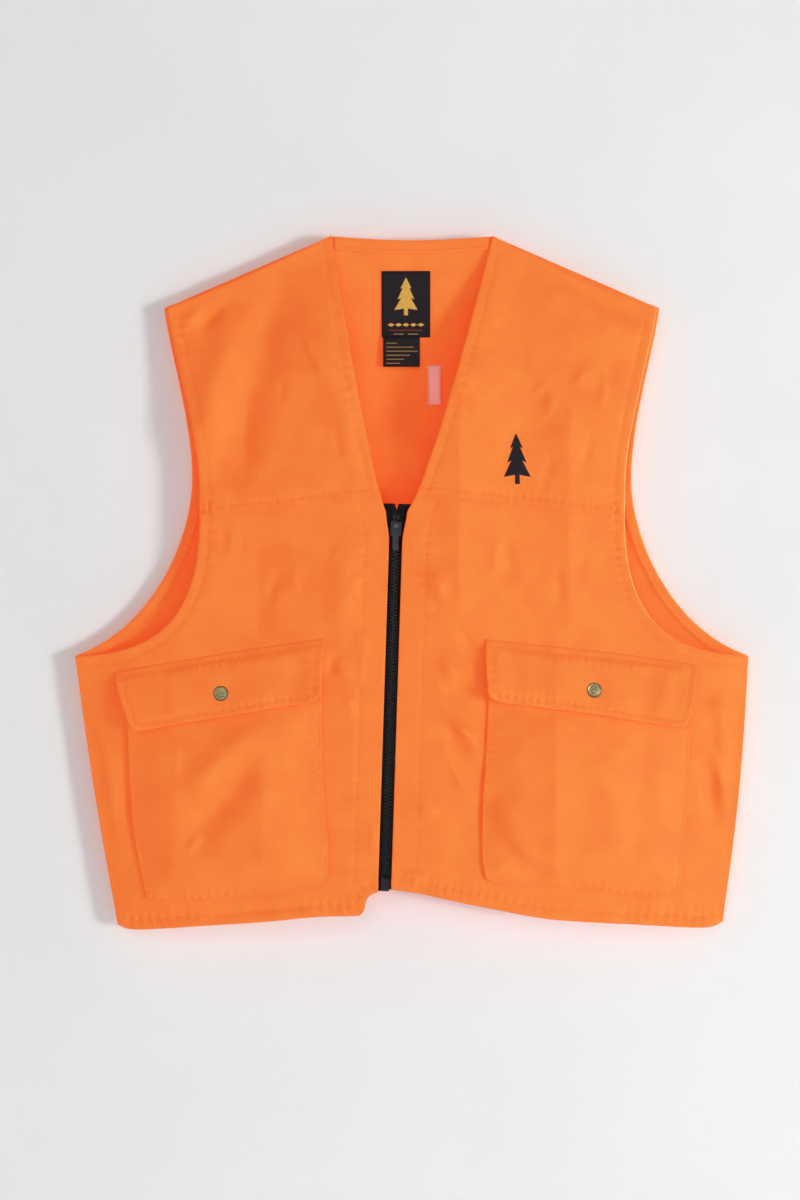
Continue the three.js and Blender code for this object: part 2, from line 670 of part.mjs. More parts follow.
vest.add(named("back_panel", cloth(backOutline(), backSkin, 0, CLOTH), SHELL));
vest.add(named("neck_facing", cloth(neckFacingOutline(), backSkin, -GAP - LINING_CLOTH, -GAP), SHELL));
const tabOutline = rectangle(LICENCE_TAB.x, LICENCE_TAB.z, LICENCE_TAB.width, LICENCE_TAB.height);
vest.add(named("licence_tab", cloth(tabOutline, backSkin, CLOTH + GAP, CLOTH + GAP + LINING_CLOTH), SHELL));

for (const name of Object.keys(SIDES)) {
  vest.add(named(`yoke_${name}`, cloth(yokeOutline(name), frontSkin, -CLOTH, 0), SHELL));
  vest.add(named(`front_panel_${name}`, cloth(frontOutline(name), frontSkin, -CLOTH, 0), SHELL));
  const inside = 2 * GAP + TAPE_THICK;
  const facing = cloth(facingOutline(name), frontSkin, inside, inside + LINING_CLOTH);
  vest.add(named(`front_facing_${name}`, facing, SHELL));
  vest.add(pocketGroup(name));
}

function laidLabel(name, { x, z, width, height }, material) {
  const outline = rectangle(x, z, width, height);
  return named(name, cloth(outline, backSkin, -GAP - LABEL_CLOTH, -GAP), material);
}

vest.add(laidLabel("neck_label", LABEL, LABEL_WEAVE));
vest.add(laidLabel("size_sticker", STICKER, CLEAR_FILM));

// The care label hangs from a seam at its top, a plain plate clear of the cloth behind it.
const careTop = LABEL.z - LABEL.height - GAP;
const careY = backSkin(CARE_LABEL.x, careTop) - 3;
const careLabel = block(
  CARE_LABEL.x - CARE_LABEL.width / 2, CARE_LABEL.x + CARE_LABEL.width / 2,
  careY - LABEL_CLOTH / 2, careY + LABEL_CLOTH / 2,
  careTop - CARE_LABEL.height, careTop,
);
vest.add(named("care_label", careLabel, LABEL_WEAVE));

const markOutline = rectangle(CHEST_MARK.x, CHEST_MARK.z, CHEST_MARK.width, CHEST_MARK.height);
const mark = cloth(markOutline, frontSkin, -CLOTH - GAP - LABEL_CLOTH, -CLOTH - GAP);
vest.add(named("chest_embroidery", mark, THREAD));

vest.add(zipGroup());

export default vest;
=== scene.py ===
"""Looks of the blaze orange vest. Lengths are in millimetres in the row frame until a mesh is made."""

import json
import math

import bpy
import numpy as np
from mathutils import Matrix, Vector
from mathutils.geometry import delaunay_2d_cdt


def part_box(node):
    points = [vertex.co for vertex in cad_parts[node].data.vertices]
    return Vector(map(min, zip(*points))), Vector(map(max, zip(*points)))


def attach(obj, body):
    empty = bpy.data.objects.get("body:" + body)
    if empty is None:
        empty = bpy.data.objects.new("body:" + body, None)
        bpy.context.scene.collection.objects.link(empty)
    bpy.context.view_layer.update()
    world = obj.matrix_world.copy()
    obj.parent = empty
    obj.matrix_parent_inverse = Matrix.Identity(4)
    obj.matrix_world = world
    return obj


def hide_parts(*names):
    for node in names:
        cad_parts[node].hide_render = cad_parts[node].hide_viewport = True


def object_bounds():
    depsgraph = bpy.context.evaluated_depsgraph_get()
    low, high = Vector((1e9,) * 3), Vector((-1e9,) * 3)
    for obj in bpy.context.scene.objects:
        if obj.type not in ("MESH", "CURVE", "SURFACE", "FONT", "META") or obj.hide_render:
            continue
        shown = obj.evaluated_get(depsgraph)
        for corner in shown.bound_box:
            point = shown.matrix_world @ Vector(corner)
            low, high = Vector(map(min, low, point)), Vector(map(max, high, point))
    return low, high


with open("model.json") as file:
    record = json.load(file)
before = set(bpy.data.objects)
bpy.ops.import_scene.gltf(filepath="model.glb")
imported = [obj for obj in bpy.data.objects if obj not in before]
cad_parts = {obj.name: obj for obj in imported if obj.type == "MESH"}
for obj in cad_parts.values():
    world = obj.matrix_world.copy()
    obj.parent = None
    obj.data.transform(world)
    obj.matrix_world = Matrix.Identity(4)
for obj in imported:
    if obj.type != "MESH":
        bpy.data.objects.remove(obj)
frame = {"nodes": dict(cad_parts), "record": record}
cad_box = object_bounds()

MM = 0.001
FRONTWARDS = (0, -1, 0)
BACKWARDS = (0, 1, 0)

# The vest's own sizes, as in the CAD source
NECK_HALF = 82
SHOULDER_TIP = (250, -73)
CHEST_HALF = 340
UNDERARM_Z = -425
ARMHOLE_HALF = 222
ARMHOLE_NARROW_Z = -245
FRONT_ARMHOLE_INSET = 9
HEM_LEFT = 297
HEM_RIGHT = 314
HEM_SIDE_Z = -696
HEM_FRONT_Z = -660
YOKE_SIDE_Z = -287
YOKE_FRONT_Z = -266
ZIP_TOP = (-15.4, -279)
ZIP_BOTTOM = (-27.5, -660)
CLOTH = 0.9
FACING = 0.8

# How far the hanging vest stands out at its edges, over its middle in front and behind,
# how much more the yokes do, and how far the back sags forwards between the arms
EDGE_OUT = 1.4
FRONT_CROWN = 24
BACK_CROWN = 10
YOKE_LIFT = 0.7
BACK_SAG = 18

# From the middle of the zip to a front's edge, and how much more at the top
ZIP_EDGE = 7
ZIP_FLARE = 4

# How far each seam's stitches lie from its edge
SEAM_IN = {"armhole": 9, "v": 9, "zip": 24, "yoke_upper": 9.5, "yoke_lower": 1.6, "hem": 10, "neck": 10}
HEM_FOLD = 8
HEM_EXTRA = 1.0

# The yoke seam's two ends, and how far the back ends above the fronts
YOKE_START = 30
YOKE_END = ARMHOLE_HALF - FRONT_ARMHOLE_INSET
BACK_HEM_UP = 9

# Distances between points of the meshes
OUTLINE_STEP = 3.2
FRONT_SPACING = 3.6
BACK_SPACING = 5.0
SMALL_SPACING = 3.5
LABEL_SPACING = 3.0

STITCH_PITCH = 3.1
STITCH_WIDTH = 0.55
THREAD_OUT = 0.1
TOOTH_PITCH = 3.4
TOOTH_COUNT = 104


# ---- Small helpers ----


def columns(*parts):
    """Points whose coordinates are the parts."""
    return np.stack(parts, axis=1)


def at_depth(flat, y):
    """Points given in X and Z, at Y."""
    return columns(flat[:, 0], y, flat[:, 1])


def smooth(t):
    t = np.clip(t, 0, 1)
    return t * t * (3 - 2 * t)


def bell(d, width):
    return np.exp(-((d / width) ** 2))


def points_mm(corner):
    return np.array(corner) / MM


def box_mm(node):
    low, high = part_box(node)
    return points_mm(low), points_mm(high)


def bezier(a, b, c, d, count=20):
    t = np.linspace(0, 1, count)[:, None]
    a, b, c, d = (np.array(p, float) for p in (a, b, c, d))
    return a * (1 - t) ** 3 + 3 * b * t * (1 - t) ** 2 + 3 * c * t**2 * (1 - t) + d * t**3


def through(points, count=12):
    """A smooth curve through the points."""
    p = np.array(points, float)
    p = np.vstack([2 * p[0] - p[1], p, 2 * p[-1] - p[-2]])
    t = np.linspace(0, 1, count, endpoint=False)[:, None]
    parts = []
    for a, b, c, d in zip(p[:-3], p[1:-2], p[2:-1], p[3:]):
        parts.append(
            0.5 * (2 * b + (c - a) * t + (2 * a - 5 * b + 4 * c - d) * t**2 + (3 * b - a - 3 * c + d) * t**3)
        )
    return np.vstack([*parts, p[-2]])


def lengths(path):
    return np.concatenate([[0], np.cumsum(np.linalg.norm(np.diff(path, axis=0), axis=1))])


def evenly(path, step):
    """The path with points about a step apart, its ends kept."""
    path = np.array(path, float)
    along = lengths(path)
    count = max(2, int(round(along[-1] / step)) + 1)
    wanted = np.linspace(0, along[-1], count)
    return columns(*(np.interp(wanted, along, path[:, i]) for i in range(path.shape[1])))


def joined(parts, step):
    """One closed outline from parts that follow each other, without doubled corners."""
    return np.vstack([evenly(p, step)[:-1] for p in parts])


def counter(loop):
    """The loop counterclockwise in X and Z."""
    x, z = loop.T
    area = np.sum(x * np.roll(z, -1) - np.roll(x, -1) * z)
    return loop if area > 0 else loop[::-1]


def rectangle(low, high, inset_x=0, inset_z=0):
    """The corners in X and Z of a box, moved inwards, with the first one again at the end."""
    x0, x1 = low[0] + inset_x, high[0] - inset_x
    z0, z1 = low[2] + inset_z, high[2] - inset_z
    return np.array([(x0, z0), (x1, z0), (x1, z1), (x0, z1), (x0, z0)])


def shifted(path, distance):
    """An open path moved sideways, to its left for a distance above 0."""
    along = np.gradient(path, axis=0)
    along /= np.linalg.norm(along, axis=1)[:, None] + 1e-9
    return path + distance * columns(-along[:, 1], along[:, 0])


def seam(path, distance, step):
    """A line beside a path, with points about a step apart."""
    return evenly(shifted(evenly(path, step), distance), step)


def nearest(points, path):
    """For each point its distance from the path and how far along the path that is."""
    best = np.full(len(points), 1e9)
    place = np.zeros(len(points))
    along = lengths(path)
    for i in range(len(path) - 1):
        a = path[i]
        d = path[i + 1] - a
        size = d @ d
        if size < 1e-9:
            continue
        t = np.clip((points - a) @ d / size, 0, 1)
        off = points - a - t[:, None] * d
        far = np.hypot(off[:, 0], off[:, 1])
        closer = far < best
        best = np.where(closer, far, best)
        place = np.where(closer, along[i] + t * math.sqrt(size), place)
    return best, place


def inside(points, loop):
    """Which points lie inside a closed outline."""
    hit = np.zeros(len(points), bool)
    x, z = points[:, 0], points[:, 1]
    for a, b in zip(loop, np.roll(loop, -1, axis=0)):
        crosses = (a[1] > z) != (b[1] > z)
        if abs(b[1] - a[1]) < 1e-12:
            continue
        at = a[0] + (z - a[1]) * (b[0] - a[0]) / (b[1] - a[1])
        hit ^= crosses & (x < at)
    return hit


def ripple(x, z, seed, size):
    """Soft uneven waves from -1 to 1, about one size apart."""
    rng = np.random.default_rng(seed)
    total = np.zeros(np.shape(x))
    for _ in range(9):
        turn = rng.uniform(0, math.tau)
        stretch = rng.uniform(0.7, 1.5) * math.tau / size
        total = total + np.sin(stretch * (x * math.cos(turn) + z * math.sin(turn)) + rng.uniform(0, math.tau))
    return total / 4.5


def flat_mesh(loop, spacing, lines=()):
    """Triangles that fill a counterclockwise outline, with extra points along its edge and along lines."""
    closed = np.vstack([loop, loop[:1]])
    inset = 0.42 * spacing
    ring = shifted(closed, inset)[:-1]
    ring = ring[inside(ring, loop)]
    if len(ring):
        ring = ring[nearest(ring, closed)[0] > 0.85 * inset]
    fixed = [loop, ring]
    for line in lines:
        for off in (-1.6, 0, 1.6):
            row = evenly(shifted(evenly(line, 4), off), 2.8)
            row = row[inside(row, loop)]
            if len(row):
                far, _ = nearest(row, closed)
                fixed.append(row[far > 0.9])
    fixed = np.vstack(fixed)
    low = loop.min(0)
    high = loop.max(0)
    rise = spacing * 0.866
    rows = []
    for i, z in enumerate(np.arange(low[1] + rise / 2, high[1], rise)):
        x = np.arange(low[0] + spacing * (0.25 + 0.5 * (i % 2)), high[0], spacing)
        rows.append(columns(x, np.full(len(x), z)))
    grid = np.vstack(rows)
    grid = grid[inside(grid, loop)]
    taken = {}
    for p in fixed:
        taken.setdefault((int(p[0] // spacing), int(p[1] // spacing)), []).append(p)
    kept = []
    limit = (0.62 * spacing) ** 2
    for p in grid:
        cx, cz = int(p[0] // spacing), int(p[1] // spacing)
        near = [q for i in (-1, 0, 1) for j in (-1, 0, 1) for q in taken.get((cx + i, cz + j), ())]
        if all((p[0] - q[0]) ** 2 + (p[1] - q[1]) ** 2 > limit for q in near):
            kept.append(p)
    everything = np.vstack([fixed, kept]) if kept else fixed
    count = len(loop)
    edges = [(i, (i + 1) % count) for i in range(count)]
    out = delaunay_2d_cdt([Vector(p) for p in everything], edges, [], 1, 1e-4, False)
    flat = np.array([tuple(v) for v in out[0]])
    faces = np.array([tuple(f) for f in out[2]])
    faces = faces[inside(flat[faces].mean(axis=1), loop)]
    used = np.unique(faces)
    place = np.zeros(len(flat), int)
    place[used] = np.arange(len(used))
    return flat[used], [tuple(int(place[i]) for i in f) for f in faces]


def rims(faces):
    """The open edges of a mesh as loops, in the direction of its faces."""
    sides = {}
    for f in faces:
        for a, b in zip(f, f[1:] + f[:1]):
            sides[(a, b)] = True
    follows = {a: b for a, b in sides if (b, a) not in sides}
    loops = []
    while follows:
        start, at = follows.popitem()
        loop = [start]
        while at != start:
            loop.append(at)
            at = follows.pop(at)
        loops.append(loop)
    return loops


def make(name, points, faces, material, is_smooth=True):
    """A mesh object from points in millimetres."""
    mesh = bpy.data.meshes.new(name)
    mesh.from_pydata([tuple(p) for p in np.array(points) * MM], [], [tuple(int(i) for i in f) for f in faces])
    mesh.validate()
    mesh.update()
    mesh.shade_smooth() if is_smooth else mesh.shade_flat()
    obj = bpy.data.objects.new(name, mesh)
    bpy.context.scene.collection.objects.link(obj)
    obj.data.materials.append(material)
    return obj


def settle(obj, body="vest", nodes=()):
    """The piece stands for CAD nodes, which it hides, and rides on a body."""
    if nodes:
        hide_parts(*nodes)
    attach(obj, body)
    return obj


def shell(outer, inner, faces, bulge=0.5):
    """A closed sheet between two layers of points, with a rounded rim."""
    n = len(outer)
    points = [*outer, *inner]
    solid = [tuple(f) for f in faces] + [tuple(n + i for i in f[::-1]) for f in faces]
    for loop in rims([tuple(f) for f in faces]):
        a = outer[loop]
        b = inner[loop]
        middle = (a + b) / 2
        along = np.roll(middle, -1, axis=0) - np.roll(middle, 1, axis=0)
        away = np.cross(along, a - b)
        away /= np.linalg.norm(away, axis=1)[:, None] + 1e-9
        thick = np.linalg.norm(a - b, axis=1)[:, None]
        first = len(points)
        points.extend(middle + away * thick * bulge)
        count = len(loop)
        for i in range(count):
            j = (i + 1) % count
            solid.append((loop[j], loop[i], first + i, first + j))
            solid.append((first + j, first + i, n + loop[i], n + loop[j]))
    return np.array(points), solid


def quads(rows, across, flip=False):
    """The faces of a grid of points, row after row."""
    starts = [r * across + c for r in range(rows - 1) for c in range(across - 1)]
    made = [(a, a + 1, a + 1 + across, a + across) for a in starts]
    return [f[::-1] for f in made] if flip else made


def many(parts):
    """One list of points and faces from several."""
    points, faces, start = [], [], 0
    for p, f in parts:
        points.append(np.array(p))
        faces.extend(tuple(i + start for i in one) for one in f)
        start += len(p)
    return np.vstack(points), faces


# ---- Materials ----


def principled(name, colour, rough, metal=0.0, specular=0.5):
    """A new material, its node tree and its shader."""
    material = bpy.data.materials.new(name)
    material.use_nodes = True
    shader = material.node_tree.nodes["Principled BSDF"]
    shader.inputs["Base Color"].default_value = (*colour, 1)
    shader.inputs["Roughness"].default_value = rough
    shader.inputs["Metallic"].default_value = metal
    shader.inputs["Specular IOR Level"].default_value = specular
    return material, material.node_tree, shader


def colours(tree, factor, target, *stops):
    """A ramp between the stops' colours, into the target socket."""
    ramp = tree.nodes.new("ShaderNodeValToRGB")
    while len(ramp.color_ramp.elements) < len(stops):
        ramp.color_ramp.elements.new(0.5)
    for element, (place, colour) in zip(ramp.color_ramp.elements, stops):
        element.position = place
        element.color = (*colour, 1)
    tree.links.new(factor, ramp.inputs[0])
    tree.links.new(ramp.outputs[0], target)


def bumped(tree, shader, layers):
    """Bump from several (height socket, strength, distance in mm) layers, one on the other."""
    last = None
    for height, strength, distance in layers:
        bump = tree.nodes.new("ShaderNodeBump")
        bump.inputs["Strength"].default_value = strength
        bump.inputs["Distance"].default_value = distance * MM
        tree.links.new(height, bump.inputs["Height"])
        if last:
            tree.links.new(last, bump.inputs["Normal"])
        last = bump.outputs[0]
    tree.links.new(last, shader.inputs["Normal"])


def woven(tree, size, turn=0.0):
    """A fine weave: two crossed sets of threads, in the vest's own X and Z."""
    place = tree.nodes.new("ShaderNodeTexCoord")
    mapping = tree.nodes.new("ShaderNodeMapping")
    mapping.inputs["Rotation"].default_value = (0, turn, 0)
    tree.links.new(place.outputs["Object"], mapping.inputs[0])
    sets = []
    for way in ("X", "Z"):
        wave = tree.nodes.new("ShaderNodeTexWave")
        wave.bands_direction = way
        wave.inputs["Scale"].default_value = 0.314 / (size * MM)
        wave.inputs["Distortion"].default_value = 0.6
        wave.inputs["Detail"].default_value = 1
        tree.links.new(mapping.outputs[0], wave.inputs["Vector"])
        sets.append(wave.outputs["Fac"])
    both = tree.nodes.new("ShaderNodeMath")
    both.operation = "MULTIPLY"
    tree.links.new(sets[0], both.inputs[0])
    tree.links.new(sets[1], both.inputs[1])
    return both.outputs[0], place


def noise(tree, place, size, detail=3):
    made = tree.nodes.new("ShaderNodeTexNoise")
    made.inputs["Scale"].default_value = 1 / (size * MM)
    made.inputs["Detail"].default_value = detail
    tree.links.new(place.outputs["Object"], made.inputs["Vector"])
    return made.outputs["Fac"]


def blaze_cloth():
    """Fluorescent polyester with a painted red glow: a constant red emission gives back red light even in
    shadow, and it takes green only from the lamp.
    """
    material, tree, shader = principled("shell_cloth", (0.30, 0.205, 0.030), 0.72, specular=0.25)
    # Painted red glow: a constant red emission that keeps the cloth red-orange in its shadows instead of
    # dark.
    shader.inputs["Emission Color"].default_value = (1.0, 0.022, 0.006, 1)
    shader.inputs["Emission Strength"].default_value = 0.68
    shader.inputs["Sheen Weight"].default_value = 0.12
    shader.inputs["Sheen Roughness"].default_value = 0.4
    threads, place = woven(tree, 0.55)
    cloudy = noise(tree, place, 26, 4)
    fine = noise(tree, place, 2.2, 2)
    dark = (0.218, 0.181, 0.026)
    light = (0.244, 0.212, 0.032)
    colours(tree, cloudy, shader.inputs["Base Color"], (0.3, dark), (0.7, light))
    soft = noise(tree, place, 9, 3)
    bumped(tree, shader, [(soft, 0.45, 0.4), (fine, 0.45, 0.14), (threads, 0.5, 0.06)])
    return material


def thread_material(name, colour, rough, painted_glow=None):
    material, tree, shader = principled(name, colour, rough, specular=0.2)
    place = tree.nodes.new("ShaderNodeTexCoord")
    wave = tree.nodes.new("ShaderNodeTexWave")
    wave.bands_direction = "DIAGONAL"
    wave.inputs["Scale"].default_value = 0.314 / (0.5 * MM)
    tree.links.new(place.outputs["Object"], wave.inputs["Vector"])
    # Painted red glow: a constant emission that keeps the thread red in its shadows, like the cloth.
    if painted_glow:
        shader.inputs["Emission Color"].default_value = (*painted_glow, 1)
        shader.inputs["Emission Strength"].default_value = 0.6
    dark = tuple(c * 0.75 for c in colour)
    colours(tree, noise(tree, place, 1.5, 2), shader.inputs["Base Color"], (0.3, dark), (0.7, colour))
    bumped(tree, shader, [(wave.outputs["Fac"], 0.5, 0.08)])
    return material


def knitted_tape():
    material, tree, shader = principled("zip_tape", (0.012, 0.009, 0.009), 0.85, specular=0.12)
    threads, place = woven(tree, 0.7, math.radians(45))
    dark = (0.006, 0.005, 0.005)
    light = (0.018, 0.015, 0.016)
    colours(tree, threads, shader.inputs["Base Color"], (0.2, dark), (0.9, light))
    bumped(tree, shader, [(threads, 0.8, 0.15), (noise(tree, place, 4, 2), 0.3, 0.2)])
    return material


def moulded_plastic():
    material, tree, shader = principled("zip_plastic", (0.008, 0.007, 0.008), 0.3, specular=0.3)
    place = tree.nodes.new("ShaderNodeTexCoord")
    grain = noise(tree, place, 0.8, 3)
    colours(tree, grain, shader.inputs["Roughness"], (0.3, (0.3, 0.3, 0.3)), (0.75, (0.46, 0.46, 0.46)))
    bumped(tree, shader, [(grain, 0.2, 0.05)])
    return material


def worn(name, base, bare, rough, metal, amount):
    """A finish that has rubbed off along the edges."""
    material, tree, shader = principled(name, base, rough, metal)
    place = tree.nodes.new("ShaderNodeTexCoord")
    shape = tree.nodes.new("ShaderNodeNewGeometry")
    grain = noise(tree, place, 0.9, 4)
    mix = tree.nodes.new("ShaderNodeMath")
    mix.operation = "MULTIPLY_ADD"
    mix.inputs[1].default_value = 0.25
    tree.links.new(grain, mix.inputs[0])
    tree.links.new(shape.outputs["Pointiness"], mix.inputs[2])
    colours(tree, mix.outputs[0], shader.inputs["Base Color"], (amount, base), (amount + 0.06, bare))
    bumped(tree, shader, [(grain, 0.25, 0.05)])
    return material


def satin(name, colour):
    material, tree, shader = principled(name, colour, 0.62, specular=0.15)
    threads, place = woven(tree, 0.45)
    lit = tuple(c * 1.6 for c in colour)
    colours(tree, threads, shader.inputs["Base Color"], (0.1, colour), (0.9, lit))
    bumped(tree, shader, [(threads, 0.5, 0.08), (noise(tree, place, 8, 2), 0.3, 0.3)])
    return material


def clear_film():
    material, tree, shader = principled("sticker_film", (1.0, 0.52, 0.42), 0.22)
    shader.inputs["Alpha"].default_value = 0.62
    shader.inputs["Coat Weight"].default_value = 0.5
    place = tree.nodes.new("ShaderNodeTexCoord")
    bumped(tree, shader, [(noise(tree, place, 5, 2), 0.3, 0.3)])
    return material


CLOTH_LOOK = blaze_cloth()
# The last colour is the thread's painted red glow.
THREAD_LOOK = thread_material("orange_thread", (0.34, 0.26, 0.05), 0.6, (1.0, 0.03, 0.01))
TAPE_LOOK = knitted_tape()
PLASTIC_LOOK = moulded_plastic()
METAL_LOOK = worn("zip_metal", (0.007, 0.006, 0.007), (0.10, 0.095, 0.09), 0.3, 0.15, 0.72)
BRASS_LOOK = worn("snap_brass", (0.16, 0.12, 0.055), (0.52, 0.44, 0.24), 0.42, 1.0, 0.6)
LABEL_LOOK = satin("label_cloth", (0.012, 0.008, 0.010))
GOLD_LOOK = thread_material("gold_thread", (0.72, 0.42, 0.08), 0.45)
FADED_GOLD_LOOK = thread_material("faded_gold_thread", (0.30, 0.20, 0.06), 0.5)
RED_LOOK = thread_material("red_thread", (0.35, 0.03, 0.02), 0.5)
FILM_LOOK = clear_film()
INK_LOOK = thread_material("embroidery_thread", (0.010, 0.006, 0.009), 0.5)


# ---- The hanging shape ----


def side_half(x, z):
    """From the middle to the side seam."""
    hem = np.where(np.asarray(x) < 0, HEM_LEFT, HEM_RIGHT)
    share = np.maximum(0, (UNDERARM_Z - z) / (UNDERARM_Z - HEM_SIDE_Z))
    return CHEST_HALF + share * (hem - CHEST_HALF)


def shoulder_z(reach):
    return -np.maximum(0, reach - NECK_HALF) * -SHOULDER_TIP[1] / (SHOULDER_TIP[0] - NECK_HALF)


def crown(x, z):
    """How far the vest stands out, from 0 at its side seams and shoulders to 1 over the middle."""
    reach = np.abs(x)
    across = 1 - 0.65 * np.maximum(0, (reach - 60) / 240)
    edge = 0.35 * (side_half(x, z) - reach) / 40
    both = -np.log(np.exp(-9 * across) + np.exp(-9 * edge)) / 9
    return np.clip(both, 0, 1) * smooth((shoulder_z(reach) - z) / 140)


def zip_x(z):
    share = (ZIP_TOP[1] - z) / (ZIP_TOP[1] - ZIP_BOTTOM[1])
    return ZIP_TOP[0] + share * (ZIP_BOTTOM[0] - ZIP_TOP[0])


def front_edge(side, z, outboard=0):
    """X of a front's own edge: along the zip below, along the V above."""
    z = np.asarray(z, float)
    flare = ZIP_FLARE * smooth((z - ZIP_TOP[1] + 30) / 30)
    at_zip = ZIP_TOP[0] + side * (ZIP_EDGE + ZIP_FLARE)
    share = np.clip((z - ZIP_TOP[1]) / -ZIP_TOP[1], 0, 1)
    above = at_zip + (side * NECK_HALF - at_zip) * share**0.8
    below = zip_x(z) + side * (ZIP_EDGE + flare)
    return np.where(z <= ZIP_TOP[1], below, above) + side * outboard


def yoke_z(x):
    """Z of the yoke seam, which drops towards the armholes."""
    share = (np.abs(x) - YOKE_START) / (YOKE_END - YOKE_START)
    drop = YOKE_FRONT_Z - YOKE_SIDE_Z
    return YOKE_FRONT_Z - drop * np.clip(share, 0, 2) ** 1.15 + 0.6 * np.sin(np.asarray(x) / 17)


def hem_path(side):
    """The fronts' lower edge, from the side seam to the zip."""
    if side < 0:
        run = through([(-297, -696), (-279, -700), (-217, -695.5), (-147, -690), (-100, -685), (-52, -683)])
        corner = through([(-52, -683), (-48.5, -678), (-46, -667), (-41, -662), (-35, -660)], 4)
        return np.vstack([run[:-1], corner])
    return through(
        [(314, -693), (296, -698), (232, -694), (144, -688), (88, -678), (40, -668), (8, -661), (-20, -657)]
    )


def armhole_path(side, inset):
    """The armhole from the shoulder tip down to the underarm."""
    tip = SHOULDER_TIP[0] - inset / 3
    narrow = ARMHOLE_HALF - inset
    deep = ARMHOLE_NARROW_Z - inset
    upper = bezier((tip, SHOULDER_TIP[1]), (tip - 8, -125), (narrow, deep + 55), (narrow, deep))
    start = (narrow, YOKE_SIDE_Z) if inset else (narrow, deep)
    bend = (narrow + 40 - 3 * inset, max(UNDERARM_Z, UNDERARM_Z + 27 - 3 * inset))
    lower = bezier(start, (narrow, start[1] - 60), bend, (CHEST_HALF, UNDERARM_Z))
    path = np.vstack([upper, lower]) if inset else np.vstack([upper[:-1], lower])
    return path * (side, 1)


def shoulder_path(side):
    sag = 2.0 if side < 0 else 5.0
    t = np.linspace(0, 1, 12)
    x = NECK_HALF + t * (SHOULDER_TIP[0] - FRONT_ARMHOLE_INSET / 3 - NECK_HALF)
    z = SHOULDER_TIP[1] * t - sag * np.sin(math.pi * t) ** 0.8
    return columns(side * x, z)


def back_hem_path():
    low = HEM_SIDE_Z + BACK_HEM_UP
    a = np.array([-HEM_LEFT, low])
    c = np.array([HEM_RIGHT, low])
    b = np.array([0, 2 * (HEM_FRONT_Z + BACK_HEM_UP) - low])
    t = np.linspace(0, 1, 30)[:, None]
    return a * (1 - t) ** 2 + 2 * b * t * (1 - t) + c * t**2


def v_line(side, outboard, top=-1.0, bottom=-268):
    z = np.linspace(top, bottom, 40)
    return columns(front_edge(side, z, outboard), z)


def zip_line(side, outboard, top=-268, bottom=-657):
    z = np.linspace(top, bottom, 50)
    return columns(front_edge(side, z, outboard), z)


def yoke_line(side, up):
    x = np.linspace(front_edge(side, YOKE_FRONT_Z + up, 0.5), side * (YOKE_END - 0.5), 50)
    return columns(x, yoke_z(x) + up)


def lines_of(side):
    """Each row of stitches of a front, as an open path in X and Z."""
    return {
        "armhole": seam(armhole_path(side, FRONT_ARMHOLE_INSET), -side * SEAM_IN["armhole"], 5)[1:-2],
        "v": v_line(side, SEAM_IN["v"]),
        "zip": zip_line(side, SEAM_IN["zip"]),
        "yoke_upper": yoke_line(side, SEAM_IN["yoke_upper"]),
        "yoke_lower": yoke_line(side, SEAM_IN["yoke_lower"]),
        "hem": seam(hem_path(side), -side * SEAM_IN["hem"], 5)[1:-1],
    }


LINES = {side: lines_of(side) for side in (-1, 1)}


# Light comes from the right, so a crest is dark on its left and bright on its right.
def fold(path, height, width, fade=0.3, sharp=False):
    """A fold along a path: how far it stands out (in when below 0), how wide, and the share that fades."""
    return {"path": through(path, 8), "height": height, "width": width, "sharp": sharp, "fade": fade}


# How many times its stated height each set of folds stands out
PACKING_DEPTH = 2.5
DRAPE_DEPTH = 2.7
BACK_DEPTH = 3.0
POCKET_DEPTH = 2.1
FLAP_DEPTH = 1.5
PACKING = [
    fold([(48, -112), (47, -270), (48, -418)], 3.2, 44, 0.15, True),
    fold([(158, -150), (157, -280), (158, -415)], 2.4, 30, 0.15, True),
    fold([(-168, -138), (-167, -200), (-168, -268)], -2.0, 26, sharp=True),
    fold([(-155, -288), (-154, -360), (-155, -432)], -2.2, 30, sharp=True),
]
DRAPE = [
    fold([(-176, -50), (-200, -72), (-216, -104)], -2.6, 9, 0.45),
    fold([(-192, -48), (-216, -66), (-232, -100)], 2.2, 9, 0.45),
    fold([(-130, -34), (-142, -88), (-154, -140), (-180, -220), (-198, -270)], -2.7, 19, 0.25),
    fold([(-170, -62), (-184, -100), (-200, -160), (-214, -240)], 2.6, 17, 0.3),
    fold([(-97, -80), (-78, -150), (-52, -240)], 1.8, 15, 0.3),
    fold([(118, -28), (170, -74), (228, -123)], 2.4, 22, 0.3),
    fold([(132, -22), (186, -60), (236, -92)], -2.0, 10, 0.35),
    fold([(92, -60), (110, -140), (118, -240)], -1.6, 22, 0.3),
    fold([(8, -333), (24, -356), (43, -383)], 1.6, 7, 0.5),
    fold([(26, -420), (48, -453)], 1.5, 6, 0.5),
    fold([(36, -484), (68, -513)], 2.6, 6, 0.5),
    fold([(30, -496), (60, -528)], -2.2, 6, 0.5),
    fold([(-2, -563), (28, -588)], 1.5, 6, 0.5),
    fold([(-12, -638), (18, -653)], 1.6, 5, 0.5),
    fold([(293, -466), (336, -490)], 1.8, 8, 0.5),
    fold([(288, -518), (304, -560), (316, -612)], -2.2, 9, 0.4),
    fold([(300, -505), (318, -560), (322, -620)], 1.8, 9, 0.4),
    fold([(-317, -630), (-297, -655)], -2.2, 6, 0.5),
    fold([(-322, -480), (-306, -560), (-300, -640)], 1.8, 10, 0.4),
    fold([(-84, -434), (-52, -446)], 1.2, 4, 0.5),
    fold([(-60, -300), (-72, -360), (-66, -420)], 1.6, 14, 0.4),
    fold([(-222, -300), (-236, -350), (-262, -395)], 1.6, 9, 0.4),
    fold([(-80, -672), (-120, -676), (-200, -684)], -1.0, 5, 0.4),
]


